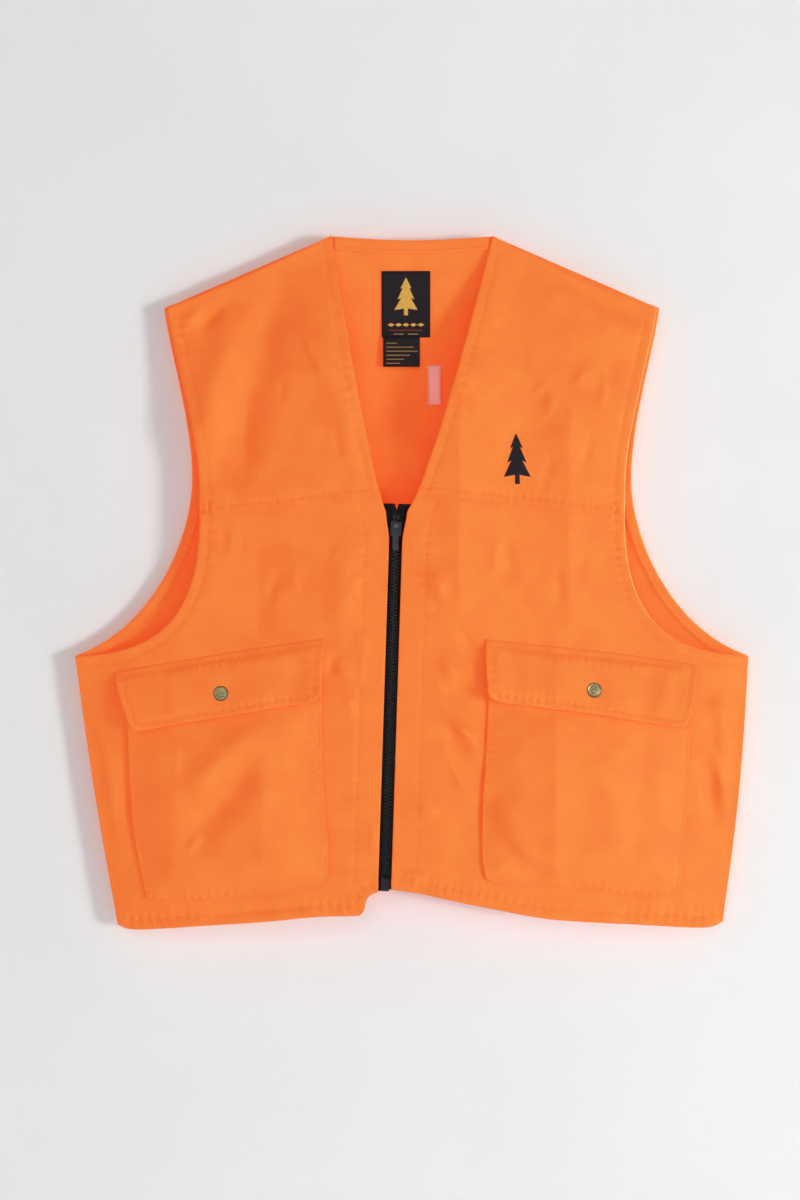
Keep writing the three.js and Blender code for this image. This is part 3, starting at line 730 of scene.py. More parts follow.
def small_creases(seed, count, low, high, lean):
    """Short shallow creases between two corners, about lean degrees from upright."""
    draw = np.random.default_rng(seed)
    made = []
    for _ in range(count):
        start = draw.uniform(low, high)
        turn = math.radians(lean + draw.uniform(-20, 20))
        reach = draw.uniform(26, 64) * np.array([math.sin(turn), -math.cos(turn)])
        middle = start + reach / 2 + (draw.uniform(-4, 4), 0)
        height = draw.uniform(0.5, 1.0) * draw.choice((-1, 1))
        made.append(fold([start, middle, start + reach], height, draw.uniform(3.2, 6), 0.45))
    return made


# Seed, count, two corners and lean: by the zip, at the right side, on the yokes and above the pockets
for creases in [
    (11, 12, (16, -600), (46, -290), 42),
    (12, 7, (-78, -600), (-40, -290), -12),
    (13, 5, (296, -610), (318, -470), 8),
    (14, 6, (90, -250), (200, -90), -24),
    (15, 5, (-150, -250), (-70, -90), 14),
    (16, 5, (80, -330), (240, -290), 10),
    (17, 5, (-240, -335), (-90, -290), -8),
]:
    DRAPE += small_creases(*creases)


def folds(points, many_folds):
    """How far the folds together stand out at the points."""
    total = np.zeros(len(points))
    for f in many_folds:
        far, place = nearest(points, f["path"])
        whole = lengths(f["path"])[-1]
        ends = smooth(place / (f["fade"] * whole)) * smooth((whole - place) / (f["fade"] * whole))
        across = np.exp(-far / f["width"]) if f["sharp"] else bell(far, f["width"])
        total += f["height"] * ends * across
    return total


def sewn(points, line, depth=0.55, pucker=0.55, reach=8, wave=8.5, seed=1):
    """Relief of a row of stitches: the cloth is drawn in along it and puckers on both sides."""
    far, place = nearest(points, line)
    near = far < 5 * reach
    total = np.zeros(len(points))
    along = place[near]
    waves = np.sin(math.tau * along / wave + 1.6 * np.sin(along / 23 + seed))
    swell = 0.6 + 0.4 * np.sin(along / 41 + 2 * seed)
    total[near] = 1.4 * pucker * swell * waves * bell(far[near], reach) - 1.5 * depth * bell(far[near], 1.4)
    return total


def free_share(x, z):
    """0 where a front is sewn to the back, at shoulder and side, and 1 away from there."""
    reach = np.abs(x)
    at_side = np.where(z < UNDERARM_Z + 12, smooth((side_half(x, z) - reach) / 26), 1.0)
    return smooth((shoulder_z(reach) - z - 6) / 26) * at_side


# Each seam's groove depth, pucker height, pucker reach, pucker length and seed
FRONT_SEAMS = {
    "armhole": (0.6, 0.7, 8, 9, 1),
    "v": (0.55, 0.5, 8, 10, 2),
    "zip": (0.4, 0.4, 9, 11, 3),
    "yoke_upper": (0.7, 0.85, 6, 7.5, 5),
    "yoke_lower": (0.4, 0.6, 7, 7.5, 6),
    "hem": (0.6, 0.9, 8, 9, 7),
}
BACK_SEAMS = {
    "left": (0.45, 0.5, 8, 9, 1),
    "right": (0.45, 0.5, 8, 9, 2),
    "hem": (0.45, 0.5, 8, 9, 3),
    "neck": (0.3, 0.25, 6, 8, 4),
    "tab_top": (0.3, 0.25, 6, 8, 5),
    "tab_side": (0.3, 0.25, 6, 8, 6),
}


def front_relief(x, z):
    """How far the fronts stand out from their smooth shape."""
    points = columns(np.ravel(x), np.ravel(z))
    px, pz = points.T
    free = free_share(px, pz)
    total = PACKING_DEPTH * folds(points, PACKING) + DRAPE_DEPTH * folds(points, DRAPE)
    by_zip = np.where(pz < ZIP_TOP[1] + 20, smooth((np.abs(px - zip_x(pz)) - 10) / 45), 1.0)
    total += (1.0 * ripple(px, pz, 3, 120) + 0.35 * ripple(px, pz, 4, 38)) * by_zip
    total *= free
    for side in (-1, 1):
        here = px > -25 if side > 0 else px < 5
        if not here.any():
            continue
        part = points[here]
        add = np.zeros(len(part))
        for key, shape in FRONT_SEAMS.items():
            add += sewn(part, LINES[side][key], *shape)
        total[here] += add * smooth(free[here] * 2)
    return total.reshape(np.shape(x))


def base_out(x, z):
    """Y of the fronts' outer face without folds or seams."""
    return -(EDGE_OUT + FRONT_CROWN * crown(x, z))


def front_out(x, z, lift=0.0):
    """Y of the fronts' outer face, which near the shoulders stays clear of the back."""
    y = base_out(x, z) - front_relief(x, z)
    high = np.asarray(z) > -170
    if np.any(high):
        y = np.where(high, np.minimum(y, back_out(x, z) - 3.2), y)
    return y - lift


def yoke_out(x, z):
    return front_out(x, z, YOKE_LIFT)


def back_relief(x, z):
    """How far the back stands out from its smooth shape."""
    points = columns(np.ravel(x), np.ravel(z))
    px, pz = points.T
    free = free_share(px, pz)
    total = BACK_DEPTH * folds(points, BACK_FOLDS)
    total += 0.9 * ripple(px, pz, 7, 150) + 0.3 * ripple(px, pz, 8, 45)
    total *= free
    for key, shape in BACK_SEAMS.items():
        total += sewn(points, BACK_LINES[key], *shape) * smooth(free * 2)
    return total.reshape(np.shape(x))


BACK_FOLDS = [
    fold([(-30, -120), (-36, -220), (-44, -330)], 1.6, 22, 0.3),
    fold([(60, -130), (52, -220), (40, -330)], -0.9, 16, 0.3),
    fold([(-150, -60), (-170, -200), (-160, -420)], -2.5, 30, 0.3),
    fold([(150, -60), (160, -220), (140, -460)], 2.5, 32, 0.3),
    fold([(-90, -330), (-110, -480), (-100, -640)], 2.6, 30, 0.3),
    fold([(60, -350), (80, -500), (70, -640)], -2.4, 28, 0.3),
    fold([(-220, -60), (-170, -110), (-120, -150)], 2.0, 14, 0.4),
    fold([(220, -60), (170, -110), (120, -150)], 2.0, 14, 0.4),
    fold([(-4, -120), (-4, -380), (-4, -640)], 1.4, 40, 0.2, True),
]


def neck_path(down=0.0):
    t = np.linspace(0, 1, 26)
    x = -NECK_HALF + 2 * NECK_HALF * t
    return columns(x, -4 * np.sin(math.pi * t) - down)


BACK_LINES = {
    "left": seam(armhole_path(-1, 0), SEAM_IN["armhole"], 5)[1:-2],
    "right": seam(armhole_path(1, 0), -SEAM_IN["armhole"], 5)[1:-2],
    "hem": seam(back_hem_path(), SEAM_IN["hem"], 6)[1:-1],
    "neck": neck_path(SEAM_IN["neck"])[1:-1],
    "tab_top": np.array([(-27.0, -249.0), (31.0, -249.0)]),
    "tab_side": np.array([(-25.0, -247.0), (-25.0, -316.0)]),
}


def back_out(x, z):
    """Y of the back's outer face."""
    sag = BACK_SAG * smooth((-150 - z) / 90) * smooth((z + 560) / 160) * smooth((210 - np.abs(x)) / 90)
    return EDGE_OUT + BACK_CROWN * crown(x, z) - sag + back_relief(x, z)


# ---- Shell panels ----


def panel(name, loop, spacing, lines, surface, thickness, nodes, outwards=-1):
    """A sheet over an outline in X and Z, its outer face on the surface."""
    flat, faces = flat_mesh(loop, spacing, lines)
    y = surface(*flat.T)
    thick = thickness(flat) if callable(thickness) else thickness
    outer = at_depth(flat, y)
    inner = at_depth(flat, y - outwards * thick)
    if outwards > 0:
        faces = [f[::-1] for f in faces]
    points, solid = shell(outer, inner, faces)
    return settle(make(name, points, solid, CLOTH_LOOK), nodes=nodes)


def yoke_loop(side):
    """The outline of a yoke: the V, the shoulder, the armhole and the yoke seam."""
    low = yoke_line(side, 0)
    low[0] = (front_edge(side, low[0, 1]), low[0, 1])
    arm = armhole_path(side, FRONT_ARMHOLE_INSET)
    arm = arm[arm[:, 1] >= yoke_z(arm[:, 0])]
    end = np.array([[side * YOKE_END, float(yoke_z(YOKE_END))]])
    v = v_line(side, 0, low[0, 1], 0)
    v[0] = low[0]
    v[-1] = (side * NECK_HALF, 0)
    parts = [v, shoulder_path(side), np.vstack([arm, end]), np.vstack([end, low[::-1][1:]])]
    return joined(parts, OUTLINE_STEP)


def front_loop(side):
    """The outline of a lower front: the yoke seam, the armhole, the side, the hem and the zip."""
    top = yoke_line(side, 3)
    top[0] = (front_edge(side, top[0, 1]), top[0, 1])
    arm = armhole_path(side, FRONT_ARMHOLE_INSET)
    arm = np.vstack([top[-1:], arm[arm[:, 1] < yoke_z(arm[:, 0]) - 0.5]])
    hem = hem_path(side)
    share = np.linspace(0, math.pi, 30)
    bow = 4 * np.sin(share) * (1 if side > 0 else -0.6)
    seam_x = np.linspace(side * CHEST_HALF, hem[0, 0], 30) + bow
    seam_side = columns(seam_x, np.linspace(UNDERARM_Z, hem[0, 1], 30))
    edge = zip_line(side, 0, hem[-1, 1], top[0, 1])
    edge[0] = hem[-1]
    edge[-1] = top[0]
    return joined([top, arm, seam_side, hem, edge], OUTLINE_STEP)


def hem_thick(*edges):
    """The thickness of a panel whose cloth is turned in along its edges."""

    def thickness(flat):
        close = np.min([nearest(flat, edge)[0] for edge in edges], axis=0)
        return CLOTH + HEM_EXTRA * (1 - smooth((close - HEM_FOLD) / 3))

    return thickness


sides = {"left": -1, "right": 1}
for name, side in sides.items():
    line = LINES[side]
    thickness = hem_thick(hem_path(side), armhole_path(side, FRONT_ARMHOLE_INSET))
    panel(
        f"yoke_{name}_cloth",
        counter(yoke_loop(side)),
        FRONT_SPACING,
        [line["armhole"], line["v"], line["yoke_upper"]],
        yoke_out,
        thickness,
        [f"yoke_{name}"],
    )
    panel(
        f"front_{name}_cloth",
        counter(front_loop(side)),
        FRONT_SPACING,
        [line["armhole"], line["zip"], line["hem"]],
        front_out,
        thickness,
        [f"front_panel_{name}"],
    )


def back_loop():
    left = armhole_path(-1, 0)
    right = armhole_path(1, 0)
    hem = back_hem_path()
    side_left = np.array([(-CHEST_HALF, UNDERARM_Z), hem[0]])
    side_right = np.array([hem[-1], (CHEST_HALF, UNDERARM_Z)])
    shoulder_left = np.array([(-NECK_HALF, 0), left[0]], float)
    shoulder_right = np.array([right[0], (NECK_HALF, 0)], float)
    return joined(
        [neck_path()[::-1], shoulder_left, left, side_left, hem, side_right, right[::-1], shoulder_right], 4
    )


panel(
    "back_cloth",
    counter(back_loop()),
    BACK_SPACING,
    [BACK_LINES[key] for key in ("left", "right", "hem", "tab_top", "tab_side")],
    back_out,
    hem_thick(back_hem_path(), armhole_path(-1, 0), armhole_path(1, 0)),
    ["back_panel"],
    outwards=1,
)

# Back neck facing, a strip sewn inside the neck
neck_loop = np.vstack([evenly(neck_path(0.3), 4)[1:-1], evenly(neck_path(13), 4)[1:-1][::-1]])
panel(
    "neck_facing_cloth",
    counter(neck_loop),
    SMALL_SPACING,
    [],
    lambda x, z: back_out(x, z) - CLOTH - 1.3,
    FACING,
    ["neck_facing"],
)

# Front facings, folded inside along the V and the zip
for name, side in sides.items():
    z = np.concatenate([np.linspace(-52, -270, 40), np.linspace(-276, -655, 60)])
    near_edge = columns(front_edge(side, z, 0.8), z)
    far_edge = columns(front_edge(side, z, 24), z)
    panel(
        f"front_facing_{name}_cloth",
        counter(np.vstack([evenly(near_edge, 4), evenly(far_edge, 4)[::-1]])),
        BACK_SPACING,
        [],
        lambda x, z: front_out(x, z) + CLOTH + 2.3,
        FACING,
        [f"front_facing_{name}"],
    )

# Licence tab, sewn on the back outside
tab_low, tab_high = box_mm("licence_tab")
tab = rectangle(tab_low, tab_high)
tab_loop = joined([tab[i : i + 2] for i in range(4)], 3)
panel(
    "licence_tab_cloth",
    tab_loop,
    SMALL_SPACING,
    [],
    lambda x, z: back_out(x, z) + 1.1,
    CLOTH,
    ["licence_tab"],
    outwards=1,
)


# ---- Stitches ----


def stitches(
    name, path, surface_normal, look=THREAD_LOOK, pitch=STITCH_PITCH, width=STITCH_WIDTH, body="vest"
):
    """A row of stitches along a path in space: short rounded bars with gaps."""
    dots = evenly(path, pitch)
    parts = []
    normals = np.broadcast_to(np.asarray(surface_normal, float), dots.shape)
    for i, (a, b) in enumerate(zip(dots[:-1], dots[1:])):
        ahead = b - a
        size = np.linalg.norm(ahead)
        if size < 0.4 * pitch:
            continue
        ahead /= size
        up = normals[i] - ahead * (normals[i] @ ahead)
        up /= np.linalg.norm(up)
        across = np.cross(ahead, up)
        middle = (a + b) / 2
        half = size * 0.38
        ring = [across, up * 0.7, -across, -up * 0.7]
        points = [middle - ahead * half]
        for place in (-0.62, 0.62):
            points += [middle + ahead * half * place + r * width / 2 for r in ring]
        points.append(middle + ahead * half)
        faces = [(0, 1 + (k + 1) % 4, 1 + k) for k in range(4)]
        faces += [(1 + k, 1 + (k + 1) % 4, 5 + (k + 1) % 4, 5 + k) for k in range(4)]
        faces += [(9, 5 + k, 5 + (k + 1) % 4) for k in range(4)]
        parts.append((np.array(points), faces))
    points, faces = many(parts)
    settle(make(name, points, faces, look), body)


def on_front(path, lift=0.0):
    path = evenly(path, 2)
    return at_depth(path, front_out(*path.T, lift) - THREAD_OUT)


def on_back(path, lift=0.0):
    path = evenly(path, 2)
    return at_depth(path, back_out(*path.T) + THREAD_OUT + lift)


for name, side in sides.items():
    line = LINES[side]
    for key in ("yoke_upper", "yoke_lower", "v", "hem", "zip"):
        lift = 0 if key in ("hem", "zip") else YOKE_LIFT
        stitches(f"stitch_{key}_{name}", on_front(line[key], lift), FRONTWARDS)
    armhole = line["armhole"]
    above = armhole[:, 1] > yoke_z(armhole[:, 0])
    free = np.abs(armhole[:, 0]) < CHEST_HALF - 12
    stitches(f"stitch_armhole_upper_{name}", on_front(armhole[above], YOKE_LIFT), FRONTWARDS)
    stitches(f"stitch_armhole_lower_{name}", on_front(armhole[~above & free]), FRONTWARDS)
    behind = BACK_LINES[name]
    stitches(f"stitch_back_armhole_{name}", on_back(behind), BACKWARDS)
    seen = behind[np.abs(behind[:, 0]) < CHEST_HALF - 30]
    stitches(f"stitch_inner_armhole_{name}", on_back(seen, -CLOTH - 1.2), FRONTWARDS)
stitches("stitch_back_hem", on_back(BACK_LINES["hem"]), BACKWARDS)


# ---- Pockets ----


POCKET_MOUTH_OUT = 2.2
POCKET_SWELL = 8.6
POCKET_STITCH_IN = 2.2
FLAP_STITCH_IN = 6
FLAP_TOP_STITCH_IN = 6.5
FLAP_WIDTH = 215
POCKETS = {
    "left": {
        "inner": [(-90, -432), (-91, -471), (-90.5, -520), (-88, -571), (-84, -615), (-84, -636)],
        "bottom": [(-103, -657), (-147, -663), (-217, -669), (-250, -671)],
        "outer": [(-268, -662), (-275, -630), (-282, -580), (-286, -500), (-288, -462)],
        "folds": [
            fold([(-151, -470), (-149, -560), (-150, -650)], 1.8, 30, 0.15, True),
            fold([(-150, -496), (-190, -528), (-230, -566)], 3.3, 15, 0.3),
            fold([(-150, -526), (-190, -570), (-229, -628)], -3.4, 16, 0.3),
            fold([(-238, -495), (-236, -540), (-237, -592)], 1.2, 7, 0.3, True),
            fold([(-224, -624), (-218, -610), (-211, -598)], 1.6, 4, 0.4),
            fold([(-110, -500), (-116, -560), (-112, -620)], -1.6, 20, 0.3),
        ],
    },
    "right": {
        "inner": [(76.5, -432), (76.5, -474), (74, -527), (71, -571), (70.5, -624), (72.5, -636)],
        "bottom": [(90, -651), (115, -653.5), (179, -659), (232, -664.5), (254, -665)],
        "outer": [(270, -652), (273, -620), (275, -590), (279, -512), (281, -458)],
        "folds": [
            fold([(144, -470), (143, -560), (142, -655)], 3.0, 30, 0.1, True),
            fold([(83, -600), (110, -632), (148, -660)], -2.4, 12, 0.3),
            fold([(84, -560), (100, -600), (132, -640)], 1.8, 12, 0.3),
            fold([(238, -480), (232, -560), (240, -640)], -1.6, 18, 0.3),
            fold([(200, -500), (196, -580), (204, -650)], 1.5, 22, 0.3),
        ],
    },
}


def pocket_parts(pocket, side):
    """The parts of a pocket's outline, in order."""
    inner, bottom, outer = (through(pocket[key]) for key in ("inner", "bottom", "outer"))
    turn_a = bezier(inner[-1], inner[-1] + (0, -13), bottom[0] + (-side * 12, 1), bottom[0], 8)
    turn_b = bezier(bottom[-1], bottom[-1] + (side * 10, 0), outer[0] + (-side * 1, -8), outer[0], 8)
    mouth = np.array([outer[-1], inner[0]])
    return inner, turn_a, bottom, turn_b, outer, mouth


def make_pocket(name, side):
    """A bellows pocket: its face, the gusset behind its border and the stitches along it."""
    pocket = POCKETS[name]
    inner, turn_a, bottom, turn_b, outer, mouth = pocket_parts(pocket, side)
    loop = counter(joined([inner, turn_a, bottom, turn_b, outer, mouth], OUTLINE_STEP))
    border = np.vstack([inner, turn_a[1:], bottom[1:], turn_b[1:], outer[1:]])
    stitched = seam(border, side * POCKET_STITCH_IN, 4)[1:-1]
    stud_low, stud_high = box_mm(f"snap_stud_{name}")
    stud = (stud_low + stud_high) / 2
    slope = (mouth[0, 1] - mouth[1, 1]) / (mouth[0, 0] - mouth[1, 0])

    def pocket_out(x, z):
        points = columns(x, z)
        below = mouth[1, 1] + slope * (x - mouth[1, 0]) - z
        far, _ = nearest(points, border)
        ramp = POCKET_MOUTH_OUT + POCKET_SWELL * np.minimum(1, np.maximum(0, below) / 66)
        swell = smooth(below / 60)
        depth = ramp * (1 - swell * (1 - (0.3 + 0.7 * smooth(far / 42))))
        depth += POCKET_DEPTH * folds(points, pocket["folds"]) * smooth(far / 16) * smooth((below - 30) / 30)
        depth += 0.5 * ripple(x, z, 21 + side, 46) * smooth((below - 30) / 30)
        depth += sewn(points, stitched, 0.35, 0.5, 7, 8.5, 9)
        y = base_out(x, z) - depth
        at_stud = bell(np.hypot(x - stud[0], z - stud[2]), 13)
        return y * (1 - at_stud) + (stud_high[1] - 0.05) * at_stud

    flat, faces = flat_mesh(loop, FRONT_SPACING, [stitched])
    face_outer = at_depth(flat, pocket_out(*flat.T))
    face_inner = face_outer + (0, 1.0, 0)
    parts = [shell(face_outer, face_inner, faces)]

    # The gusset runs from behind the face's border back to the front, folded inwards halfway
    line = evenly(border, 4)
    rows = []
    for inset, share in ((2.0, 1.0), (6.5, 0.55), (3.0, 0.0)):
        row = shifted(line, side * inset)
        face_y = pocket_out(*row.T) + 0.9
        cloth_y = front_out(*row.T) + 0.2
        rows.append(at_depth(row, cloth_y + (face_y - cloth_y) * share))
    near, middle, far = rows
    rows = np.array([near, (near + middle) / 2, middle, (middle + far) / 2, far])
    near_layer = rows.reshape(-1, 3)
    inward = np.tile(shifted(line, side) - line, (len(rows), 1))
    far_layer = near_layer + at_depth(inward, np.zeros(len(inward))) * 0.8
    parts.append(shell(near_layer, far_layer, quads(len(rows), len(line))))
    points, solid = many(parts)
    settle(make(f"pocket_{name}_cloth", points, solid, CLOTH_LOOK), nodes=[f"pocket_{name}"])
    path = evenly(stitched, 2)
    stitches(f"stitch_pocket_{name}", at_depth(path, pocket_out(*path.T) - THREAD_OUT), FRONTWARDS)


for name, side in sides.items():
    make_pocket(name, side)


# ---- Flaps, made in their own frame and turned into place ----

FLAPS = {
    "left": {
        "joint": "left_flap_lift",
        "along": (0.9853, -0.064, 0.1582),
        "up": (-0.1484, 0.1362, 0.9795),
        "top": [(0, 0), (-70, 1.0), (-140, 0.6), (-215, 0)],
        "outer": [(-215, 0), (-211, -30), (-206, -50)],
        "bottom": [(-194, -62), (-150, -60.5), (-110, -61), (-60, -60), (-24, -60)],
        "inner": [(-10.5, -48), (-6, -25), (0, 0)],
        "snap": (-110, -38),
        "lift_outer": 5.0,
        "lift_inner": 1.5,
        "folds": [
            fold([(-66, -4), (-64, -30), (-66, -58)], 1.3, 22, 0.2, True),
            fold([(-158, -6), (-160, -34), (-160, -58)], 1.2, 12, 0.2, True),
            fold([(-20, -12), (-34, -30), (-40, -56)], -1.0, 9, 0.3),
        ],
    },
    "right": {
        "joint": "right_flap_lift",
        "along": (0.9913, 0.0644, -0.1149),
        "up": (0.1056, 0.1334, 0.9854),
        "top": [(0, 0), (70, 0.6), (140, 1.0), (215, -1)],
        "outer": [(215, -1), (214, -30), (212, -52)],
        "bottom": [(200, -64.5), (150, -62.5), (110, -61), (60, -60.5), (20, -60)],
        "inner": [(6, -48), (2.5, -25), (0, 0)],
        "snap": (113, -38),
        "lift_outer": 1.5,
        "lift_inner": 5.0,
        "folds": [
            fold([(72, -4), (73, -30), (74, -58)], 1.8, 22, 0.2, True),
            fold([(168, -4), (166, -30), (168, -60)], -1.0, 14, 0.2),
            fold([(16, -8), (30, -26), (36, -52)], -1.3, 8, 0.3),
            fold([(190, -6), (184, -26), (188, -52)], 1.0, 9, 0.3),
        ],
    },
}
joints = {j["name"]: j for j in frame["record"]["behaviour"]["joints"]}


def flap_frame(name):
    """A flap's own frame: its origin on the hinge, and its directions along, back and up."""
    flap = FLAPS[name]
    along = np.array(flap["along"])
    up = np.array(flap["up"])
    return points_mm(joints[flap["joint"]]["pos_m"]), along, np.cross(up, along), up


def make_flap(name, side):
    """A pocket flap with its two rows of stitches."""
    flap = FLAPS[name]
    origin, along, back, up = flap_frame(name)
    body = f"{name}_flap"

    def placed(local):
        return origin + local[:, :1] * along + local[:, 1:2] * back + local[:, 2:] * up

    top, outer, bottom, inner = (through(flap[key]) for key in ("top", "outer", "bottom", "inner"))
    turn_a = bezier(outer[-1], outer[-1] + (-side * 1, -8), bottom[0] + (side * 8, 0), bottom[0], 8)
    turn_b = bezier(bottom[-1], bottom[-1] + (-side * 8, 0), inner[0] + (-side * 1, -7), inner[0], 8)
    loop = counter(joined([top, outer, turn_a, bottom, turn_b, inner], 3.0))
    border = np.vstack([outer, turn_a[1:], bottom[1:], turn_b[1:], inner[1:]])
    stitched = seam(border, -side * FLAP_STITCH_IN, 4)[2:-2]
    top_line = (top - (0, FLAP_TOP_STITCH_IN))[2:-2]
    snap = flap["snap"]

    def flap_bulge(x, z):
        """How far the flap's outer face stands out from its flat plane."""
        points = columns(x, z)
        across = np.abs(x) / FLAP_WIDTH
        drop = smooth(-z / 60)
        out = 1.4 * np.sin(math.pi * np.clip(across, 0, 1)) * np.sin(math.pi * np.clip(-z / 75, 0, 1))
        out += flap["lift_outer"] * drop * smooth((across - 0.78) / 0.22)
        out += flap["lift_inner"] * drop * smooth((0.2 - across) / 0.2)
        out += (FLAP_DEPTH * folds(points, flap["folds"]) + 0.35 * ripple(x, z, 31, 40)) * smooth(-z / 14)
        out += sewn(points, stitched, 0.5, 0.8, 6, 8, 11)
        out += sewn(points, top_line, 0.5, 1.0, 8, 7.5, 12)
        calm = 1 - bell(np.hypot(x - snap[0], z - snap[1]), 12)
        flat_place = placed(columns(x, np.zeros(len(x)), z))
        gap = front_out(flat_place[:, 0], flat_place[:, 2]) - flat_place[:, 1]
        tuck = 1 - smooth(-z / 9)
        return (0.6 + out * calm) * (1 - tuck) + (1.2 - gap) * tuck

    flat, faces = flat_mesh(loop, 3.2, [stitched, top_line])
    bulge = flap_bulge(*flat.T)
    close, _ = nearest(flat, np.vstack([loop, loop[:1]]))
    thick = 1.1 + 0.6 * (1 - smooth((close - 5) / 2))
    face_outer = placed(at_depth(flat, -bulge))
    face_inner = placed(at_depth(flat, -bulge + thick))
    points, solid = shell(face_outer, face_inner, faces)
    settle(make(f"flap_{name}_cloth", points, solid, CLOTH_LOOK), body, [f"flap_{name}"])
    for key, path in (("edge", stitched), ("top", top_line)):
        path = evenly(path, 2)
        local = at_depth(path, -flap_bulge(*path.T) - THREAD_OUT)
        stitches(f"stitch_flap_{key}_{name}", placed(local), -back, body=body)


for name, side in sides.items():
    make_flap(name, side)


# ---- Zip ----

zip_origin = np.array([ZIP_TOP[0], -23.6, ZIP_TOP[1]])
zip_lean = math.atan2(ZIP_TOP[0] - ZIP_BOTTOM[0], ZIP_TOP[1] - ZIP_BOTTOM[1])
zip_across = np.array([math.cos(zip_lean), 0, -math.sin(zip_lean)])
zip_back = np.array([0, 1, 0])
zip_up = np.array([math.sin(zip_lean), 0, math.cos(zip_lean)])


def on_zip(local):
    """Points given across, back and up from the top of the zip, in the vest's frame."""
    return zip_origin + local[:, :1] * zip_across + local[:, 1:2] * zip_back + local[:, 2:] * zip_up


for name, side in sides.items():
    # Tape: knitted, with a raised bead beside the teeth, and a free end that flares above the stop
    tape_end = -380 if side < 0 else -378.4
    z = np.concatenate([np.linspace(7, -12, 12), np.linspace(-15, tape_end, 156)])
    x = np.array([1.0, 2.2, 3.3, 4.1, 4.9, 5.4, 7.0, 9.0, 12.0, 15.8])
    bead = np.array([0.0, 0.1, 0.55, 0.75, 0.55, 0.1, 0.0, 0.0, 0.0, 0.0])
    grid_x, grid_z = np.meshgrid(x, z)
    flare = 2.6 * smooth((grid_z + 12) / 18) * smooth((grid_x - 2) / 6)
    flare += 1.6 * smooth((grid_z - 1) / 5) - 0.65 * smooth((grid_z + 11) / 2) * (grid_x < 1.5)
    flare -= 0.8 * smooth((-358 - grid_z) / 3) * (grid_x < 1.5)
    grid_y = -0.35 - np.tile(bead, (len(z), 1)) - 0.8 * smooth((grid_z + 10) / 16)
    grid_y += 0.9 * smooth((grid_x - 8) / 5)
    front_face = on_zip(columns(side * (grid_x + flare).ravel(), grid_y.ravel(), grid_z.ravel()))
    back_face = front_face + (0, 0.7, 0)
    points, solid = shell(front_face, back_face, quads(len(z), len(x), side > 0))
    settle(make(f"zip_tape_{name}_knit", points, solid, TAPE_LOOK), nodes=[f"zip_tape_{name}"])

    # Teeth: moulded, each with a waist and a wider head that locks past the middle
    start = -10.6 if side < 0 else -12.3
    outline = np.array([(3.4, 1.15), (1.1, 0.8), (-0.2, 1.05), (-0.75, 0.6)])
    ring = np.vstack([outline, (outline * (1, -1))[::-1]])
    parts = []
    for k in range(TOOTH_COUNT):
        middle = start - TOOTH_PITCH * k
        layers = []
        for y, shrink in ((-1.45, 0.72), (-1.1, 1.0), (1.1, 1.0), (1.45, 0.72)):
            at = ring.copy()
            at[:, 0] = 1.4 + (at[:, 0] - 1.4) * (0.9 + 0.1 * shrink)
            at[:, 1] *= shrink
            layers.append(columns(side * at[:, 0], np.full(8, y), middle + at[:, 1]))
        points = on_zip(np.vstack(layers))
        faces = [tuple(range(8)), tuple(range(31, 23, -1))]
        for r in (0, 8, 16):
            faces += [(r + i, r + 8 + i, r + 8 + (i + 1) % 8, r + (i + 1) % 8) for i in range(8)]
        if side > 0:
            faces = [f[::-1] for f in faces]
        parts.append((points, faces))
    points, faces = many(parts)
    teeth = make(f"zip_teeth_{name}_moulded", points, faces, PLASTIC_LOOK, False)
    settle(teeth, nodes=[f"zip_teeth_{name}"])


def dress(node_name, material, bevel=0.25):
    """A CAD part keeps its shape and gets its finish, with its edges eased."""
    obj = frame["nodes"][node_name]
    obj.data.materials.clear()
    obj.data.materials.append(material)
    ease = obj.modifiers.new("eased_edges", "BEVEL")
    ease.width = bevel * MM
    ease.segments = 2
    ease.limit_method = "ANGLE"
    ease.angle_limit = math.radians(35)


for node_name in ("zip_top_stop_left", "zip_top_stop_right", "zip_retainer_box", "zip_pin"):
    dress(node_name, PLASTIC_LOOK)
dress("zip_slider", METAL_LOOK, 0.4)
dress("zip_pull", METAL_LOOK, 0.35)


# ---- Snaps ----


def turned(profile, count=48):
    """A shape turned about its own Y from (radius, y) points."""
    angles = np.linspace(0, math.tau, count, endpoint=False)
    points = []
    for r, y in profile:
        points += [(r * math.cos(a), y, r * math.sin(a)) for a in angles]
    faces = []
    for k in range(len(profile) - 1):
        for i in range(count):
            j = (i + 1) % count
            faces.append((k * count + i, k * count + j, (k + 1) * count + j, (k + 1) * count + i))
    faces.append(tuple(range(count))[::-1])
    faces.append(tuple((len(profile) - 1) * count + i for i in range(count)))
    return np.array(points), faces


def petal(turn, reach, width, y):
    """One leaf of the cap's plain eight-leaf pattern, standing a little proud."""
    ahead = np.array([math.cos(turn), 0, math.sin(turn)])
    across = np.array([-math.sin(turn), 0, math.cos(turn)])
    outline = [(0.9, 0), (reach * 0.5, width), (reach, 0), (reach * 0.5, -width)]
    low = [ahead * a + across * b + np.array([0, y, 0]) for a, b in outline]
    top = ahead * reach * 0.5 + np.array([0, y - 0.28, 0])
    points = np.array([*low, top])
    return points, [(0, 1, 4), (1, 2, 4), (2, 3, 4), (3, 0, 4), (3, 2, 1, 0)]


